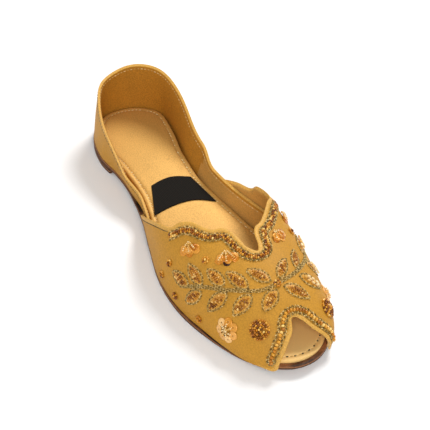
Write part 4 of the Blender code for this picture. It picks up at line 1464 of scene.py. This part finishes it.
class SHOE_OT_trims(Embroidery, bpy.types.Operator):
    """Couches the beaded trims round the topline and the toe slot"""

    bl_idname = "shoe.make_trims"
    bl_label = "Beaded trims"

    def execute(self, context):
        self.begin(11)
        cord_wide = looks().cord_wide * TRIM_CORD
        edge = TRIM_WIDE / 2 - cord_wide / 2
        for trim, curve in zip(TRIMS, edge_curves(EDGE_SPLITS)):
            last = len(curve) - 1
            middle = beside(curve[int(trim.start * last):int(trim.end * last) + 1], trim.aside)
            bead = looks().bead_wide * trim.bead
            threads, glass = [], []
            for aside in (-edge, edge):
                self.cord(vamp_line(beside(middle, aside)), cord_wide, threads)
            for row in trim.rows:
                self.beads(vamp_line(beside(middle, row * bead)), bead, glass, spacing=0.84,
                           scatter=0.2 * bead, low=trim.darkest)
            scattered(trim.name + "_zari", self.turn_of_thread, threads, metal_thread(),
                      [trim.name + "_trim"])
            scattered(trim.name + "_beads", self.bead, glass, amber_glass())
        self.end()
        return {"FINISHED"}


class SHOE_OT_leaves(Embroidery, bpy.types.Operator):
    """Embroiders the stem and its beaded leaves"""

    bl_idname = "shoe.make_leaves"
    bl_label = "Leaves and stem"

    def execute(self, context):
        self.begin(23)
        cord_wide = looks().cord_wide
        threads, glass, bugles, stem = [], [], [], []
        silk_points, silk_faces = [], []
        for leaf in LEAVES:
            tip = spot_on_vamp(leaf.tip_along, leaf.tip_round)
            base = spot_on_vamp(leaf.base_along, leaf.base_round)
            shares = [step / LEAF_STEPS for step in range(LEAF_STEPS + 1)]
            line = [mix(base, tip, share) for share in shares]
            half = LEAF_WIDE * leaf.wide / 2 - cord_wide / 2
            widths = [half * math.sin(math.pi * share ** LEAF_BELLY) ** LEAF_FULL for share in shares]
            for side in (1, -1):
                self.cord(vamp_line(beside(line, [side * width for width in widths])), cord_wide, threads)
            self.silk(line, widths, silk_points, silk_faces)
            inner = line[2:-2]
            inner_widths = widths[2:-2]
            on_inner_side = leaf.tip_round > BUGLE_SIDE
            for share in LEAF_ROWS:
                part = 0 if share == 0 else 2
                aside = [share * width for width in inner_widths[part:len(inner) - part]]
                row = vamp_line(beside(inner[part:len(inner) - part], aside))
                if on_inner_side:
                    self.beads(row, looks().bead_wide * 0.85, bugles, spacing=0.95, low=0.3,
                               long=BUGLE_LONG, lift=BUGLE_LIFT)
                else:
                    self.beads(row, looks().bead_wide * 0.95, glass, spacing=0.9, scatter=0.06 * MM)
        line = open_curve([spot_on_vamp(spot.along, spot.round) for spot in STEM_SPOTS], STEM_SPLITS)
        for aside in (-0.42, 0.42):
            self.cord(vamp_line(beside(line, aside * cord_wide)), cord_wide * 0.85, stem)
        names = [f"leaf_{number:02d}" for number in range(1, len(LEAVES) + 1)]
        scattered("leaf_zari", self.turn_of_thread, threads, metal_thread(), names)
        scattered("leaf_beads", self.bead, glass, copper_glass())
        scattered("leaf_bugles", self.bead, bugles, pearl_glass())
        mesh = bpy.data.meshes.new("leaf_silk")
        mesh.from_pydata(silk_points, [], silk_faces)
        mesh.shade_smooth()
        thicken(linked("leaf_silk", mesh, [satin_silk()], ()), SILK_THICK, 0, 0)
        scattered("stem_zari", self.turn_of_thread, stem, metal_thread(),
                  ["stem_outer", "stem_inner"])
        self.end()
        return {"FINISHED"}

    def silk(self, line, widths, points, faces):
        """A low pad of silk that fills one leaf, as points and faces of the shared mesh."""
        first = len(points)
        for fill in SILK_STEPS:
            points.extend(vamp_point(spot.x, spot.y) + vamp_out(spot.x, spot.y) * fill.lift + FOOTPRINT_SHIFT
                          for spot in beside(line, [fill.share * width for width in widths]))
        count = len(line)
        for row in range(len(SILK_STEPS) - 1):
            for step in range(count - 1):
                corner = first + row * count + step
                faces.append((corner, corner + count, corner + count + 1, corner + 1))


class SHOE_OT_flowers(Embroidery, bpy.types.Operator):
    """Sews on the sequin flowers, the bead clusters and the bead dots"""

    bl_idname = "shoe.make_flowers"
    bl_label = "Flowers and beads"

    def execute(self, context):
        self.begin(37)
        sequin = sequin_pattern()
        discs, pale, dark = [], [], []
        for flower in FLOWERS:
            self.flower(flower, discs, pale)
        for cluster in CLUSTERS:
            self.cluster(cluster, dark)
        for spot in DOT_SPOTS:
            self.cluster(Cluster(spot.along, spot.round, DOT_WIDE, DOT_HIGH), dark)
        flowers = [f"flower_{number:02d}" for number in range(1, len(FLOWERS) + 1)]
        rounds = [f"bead_cluster_{number:02d}" for number in range(1, len(CLUSTERS) + 1)]
        rounds += [f"bead_dot_{number:02d}" for number in range(1, len(DOT_SPOTS) + 1)]
        scattered("flower_sequins", sequin, discs, sequin_film(), flowers)
        scattered("flower_beads", self.bead, pale, pearl_glass())
        scattered("bead_clusters", self.bead, dark, amber_glass(), rounds)
        bpy.data.meshes.remove(sequin)
        self.end()
        return {"FINISHED"}

    def round_place(self, centre, forward, side, turn, reach):
        return centre + (forward * math.cos(turn) + side * math.sin(turn)) * reach

    def frame_at(self, along, around):
        x = along * SOLE_LENGTH
        centre = vamp_point(x, around) + FOOTPRINT_SHIFT
        forward = vamp_slopes(x, around)[0].normalized()
        return centre, forward, vamp_out(x, around).cross(forward).normalized()

    def flower(self, flower, discs, pale):
        """Domed sequins round the middle, each held by a short string of pale beads."""
        middle, forward, side = self.frame_at(flower.along, flower.round)
        radius = FLOWER_WIDE * flower.wide / 2
        bloom = ROUND_BLOOM if flower.spread == FULL_TURN else OPEN_BLOOM
        disc = looks().sequin_wide * bloom.sequin
        bead = looks().bead_wide * 0.72
        reach = radius * bloom.reach
        centre = self.round_place(middle, forward, side, flower.turn, -radius * bloom.back)
        for petal in range(flower.petals):
            turn = flower.turn + flower.spread * ((petal + 0.5) / flower.petals - 0.5)
            spot = self.round_place(centre, forward, side, turn, reach - disc / 2)
            ahead = spot - centre
            dark = petal == flower.dark_petal
            for layer in range(bloom.layers):
                place = self.round_place(centre, forward, side, turn + LAYER_TURN * (layer % 2),
                                         reach - disc * (0.5 + LAYER_IN * layer))
                tint = 0.0 if dark and layer == 0 else self.chance.uniform(*bloom.tints)
                lift = SEQUIN_LIFT + LAYER_LIFT * layer
                discs.append((seated(self.leather, place, ahead, Vector((disc, disc, disc)), lift,
                                     lean=self.chance.uniform(-0.35, -0.1)), tint))
            beads = int((reach - disc * 0.5) / (bead * STRING_STEP))
            for step in range(beads):
                point = self.round_place(centre, forward, side, turn, bead * (0.6 + STRING_STEP * step))
                arch = math.sin(math.pi * (step + 0.6) / (beads + 0.4))
                pale.append((seated(self.leather, point, ahead, Vector((1, 1, 1)) * bead,
                                    STRING_LIFT + STRING_ARCH * arch), self.chance.uniform(0.3, 1.0)))

    def cluster(self, cluster, dark):
        """A dome of beads: rings that climb towards the middle."""
        centre, forward, side = self.frame_at(cluster.along, cluster.round)
        bead = looks().bead_wide * 0.95
        radius = cluster.wide / 2 - bead / 2
        rings = max(1, round(radius / (bead * 0.85)))
        for ring in range(rings + 1):
            reach = radius * ring / rings
            count = max(1, round(2 * math.pi * reach / (bead * 0.92)))
            lift = bead * 0.4 + (cluster.high - bead) * math.cos(0.5 * math.pi * ring / rings)
            for step in range(count):
                turn = 2 * math.pi * (step + self.chance.uniform(-0.15, 0.15)) / count + ring
                point = self.round_place(centre, forward, side, turn, reach)
                size = Vector((1, 1, 1)) * bead * self.chance.uniform(0.9, 1.1)
                dark.append((seated(self.leather, point, forward, size, lift,
                                    turn=self.chance.uniform(0, 3.1), lean=self.chance.uniform(-0.7, 0.7)),
                             self.chance.random() ** 1.3))


class SHOE_OT_stitches(bpy.types.Operator):
    """Sews the seams: insole border, heel edge and the ends of the topline"""

    bl_idname = "shoe.make_stitches"
    bl_label = "Stitches"

    def execute(self, context):
        self.chance = random.Random(5)
        pattern = grain_pattern()
        pale, dark = [], []
        vamp = tree_of("vamp_leather")
        heel = tree_of("heel_leather")
        insole = tree_of("insole_foil")
        ring = [point + FOOTPRINT_SHIFT for point in
                plan_ring(lambda x: -insole_inset(x) - INSOLE_SEAM_INSET,
                          lambda x: insole_top(x) - INSOLE_SEAM_DROP)]
        self.sew(insole, ring + ring[:1], INSOLE_STITCH, pale)
        toe_start = TOE_SEAM_START * SOLE_LENGTH + FOOTPRINT_SHIFT.x
        self.sew(insole, [point for point in ring if point.x > toe_start], TOE_STITCH, dark)
        for offset, thread in ((0.0, dark), (QUARTER_WALL, pale)):
            line = []
            for step in range(HEEL_SEAM_STEPS):
                share = mix(HEEL_SEAM_END, 1 - HEEL_SEAM_END, step / (HEEL_SEAM_STEPS - 1))
                point = quarter_point(share, 1.0, top_draw(share))
                out = quarter_station(share)[1]
                line.append(point - Vector((out.x * offset, out.y * offset, HEEL_SEAM_DROP))
                            + FOOTPRINT_SHIFT)
            self.sew(heel, line, HEEL_STITCH, thread)
        line = vamp_line(beside(edge_curves(EDGE_SPLITS)[0], EDGE_CORD_SET))
        last = len(line) - 1
        for start, end in EDGE_CORD_RUNS:
            self.sew(vamp, line[int(start * last):int(end * last)], EDGE_STITCH, dark)
        scattered("seam_stitches", pattern, pale, cotton_thread())
        scattered("edge_cord", pattern, dark, dark_thread())
        bpy.data.meshes.remove(pattern)
        return {"FINISHED"}

    def sew(self, tree, points, stitch, places):
        size = Vector((stitch.long, stitch.wide, stitch.high))
        for point, ahead in evenly(points, stitch.spacing):
            places.append((seated(tree, point, ahead, size, stitch.lift, turn=stitch.slant),
                           self.chance.random()))


class SHOE_OT_stage(bpy.types.Operator):
    """Adds the floor, the lights and the camera"""

    bl_idname = "shoe.make_stage"
    bl_label = "Stage"

    def execute(self, context):
        scene = context.scene
        clear_selection()
        bpy.ops.mesh.primitive_plane_add(size=FLOOR_WIDE, location=(0, 0, 0))
        floor = context.object
        floor.name = "floor"
        made, _, shader = new_material("matte white board", 0.9, 0.0)
        shader.inputs["Base Color"].default_value = (*linear("F6F5F4"), 1.0)
        floor.data.materials.append(made)
        world = bpy.data.worlds.new("soft surround")
        world.use_nodes = True
        surround = world.node_tree.nodes["Background"]
        surround.inputs["Color"].default_value = (1.0, 1.0, 1.0, 1.0)
        surround.inputs["Strength"].default_value = SURROUND_STRENGTH
        scene.world = world
        for lamp in LAMPS:
            self.light(lamp)
        self.camera(scene)
        scene.view_settings.view_transform = "Standard"
        return {"FINISHED"}

    def light(self, lamp):
        data = bpy.data.lights.new(lamp.name, "AREA")
        data.shape = "DISK"
        data.size = lamp.size
        data.energy = lamp.power
        thing = bpy.data.objects.new(lamp.name, data)
        bpy.context.scene.collection.objects.link(thing)
        thing.location = lamp.place
        thing.rotation_euler = (-Vector(lamp.place)).to_track_quat("-Z", "Y").to_euler()

    def camera(self, scene):
        azimuth, elevation, roll = (math.radians(CAMERA_AZIMUTH), math.radians(CAMERA_ELEVATION),
                                    math.radians(CAMERA_ROLL))
        back = Vector((math.sin(azimuth) * math.cos(elevation), -math.cos(azimuth) * math.cos(elevation),
                       math.sin(elevation)))
        right = Vector((math.cos(azimuth), math.sin(azimuth), 0.0))
        up = back.cross(right)
        across_view = right * math.cos(roll) + up * math.sin(roll)
        up_view = -right * math.sin(roll) + up * math.cos(roll)
        eye = CAMERA_TARGET + FOOTPRINT_SHIFT + back * CAMERA_DISTANCE
        data = bpy.data.cameras.new("photo camera")
        data.sensor_width = 36.0
        data.lens = CAMERA_LENS
        thing = bpy.data.objects.new("photo camera", data)
        scene.collection.objects.link(thing)
        rows = [[across_view[row], up_view[row], back[row], eye[row]] for row in range(3)]
        thing.matrix_world = Matrix(rows + [[0, 0, 0, 1]])
        scene.camera = thing


class SHOE_PT_panel(bpy.types.Panel):
    """Lists the shoe's pieces and its finish"""

    bl_idname = "SHOE_PT_panel"
    bl_label = "Slip-on shoe"
    bl_space_type = "VIEW_3D"
    bl_region_type = "UI"
    bl_category = "Shoe"

    def draw(self, context):
        for name in ShoeLooks.__annotations__:
            self.layout.prop(context.scene.shoe_looks, name)
        for step in STEPS:
            self.layout.operator(step.bl_idname)


STEPS = (SHOE_OT_sole, SHOE_OT_upper, SHOE_OT_label, SHOE_OT_trims, SHOE_OT_leaves, SHOE_OT_flowers,
         SHOE_OT_stitches, SHOE_OT_stage)


def register():
    for kind in (ShoeLooks, *STEPS, SHOE_PT_panel):
        bpy.utils.register_class(kind)
    bpy.types.Scene.shoe_looks = bpy.props.PointerProperty(type=ShoeLooks)


def unregister():
    del bpy.types.Scene.shoe_looks
    for kind in (SHOE_PT_panel, *reversed(STEPS), ShoeLooks):
        bpy.utils.unregister_class(kind)


def main():
    register()
    bpy.ops.shoe.make_sole()
    bpy.ops.shoe.make_upper()
    bpy.ops.shoe.make_label()
    bpy.ops.shoe.make_trims()
    bpy.ops.shoe.make_leaves()
    bpy.ops.shoe.make_flowers()
    bpy.ops.shoe.make_stitches()
    bpy.ops.shoe.make_stage()


if __name__ == "__main__":
    main()
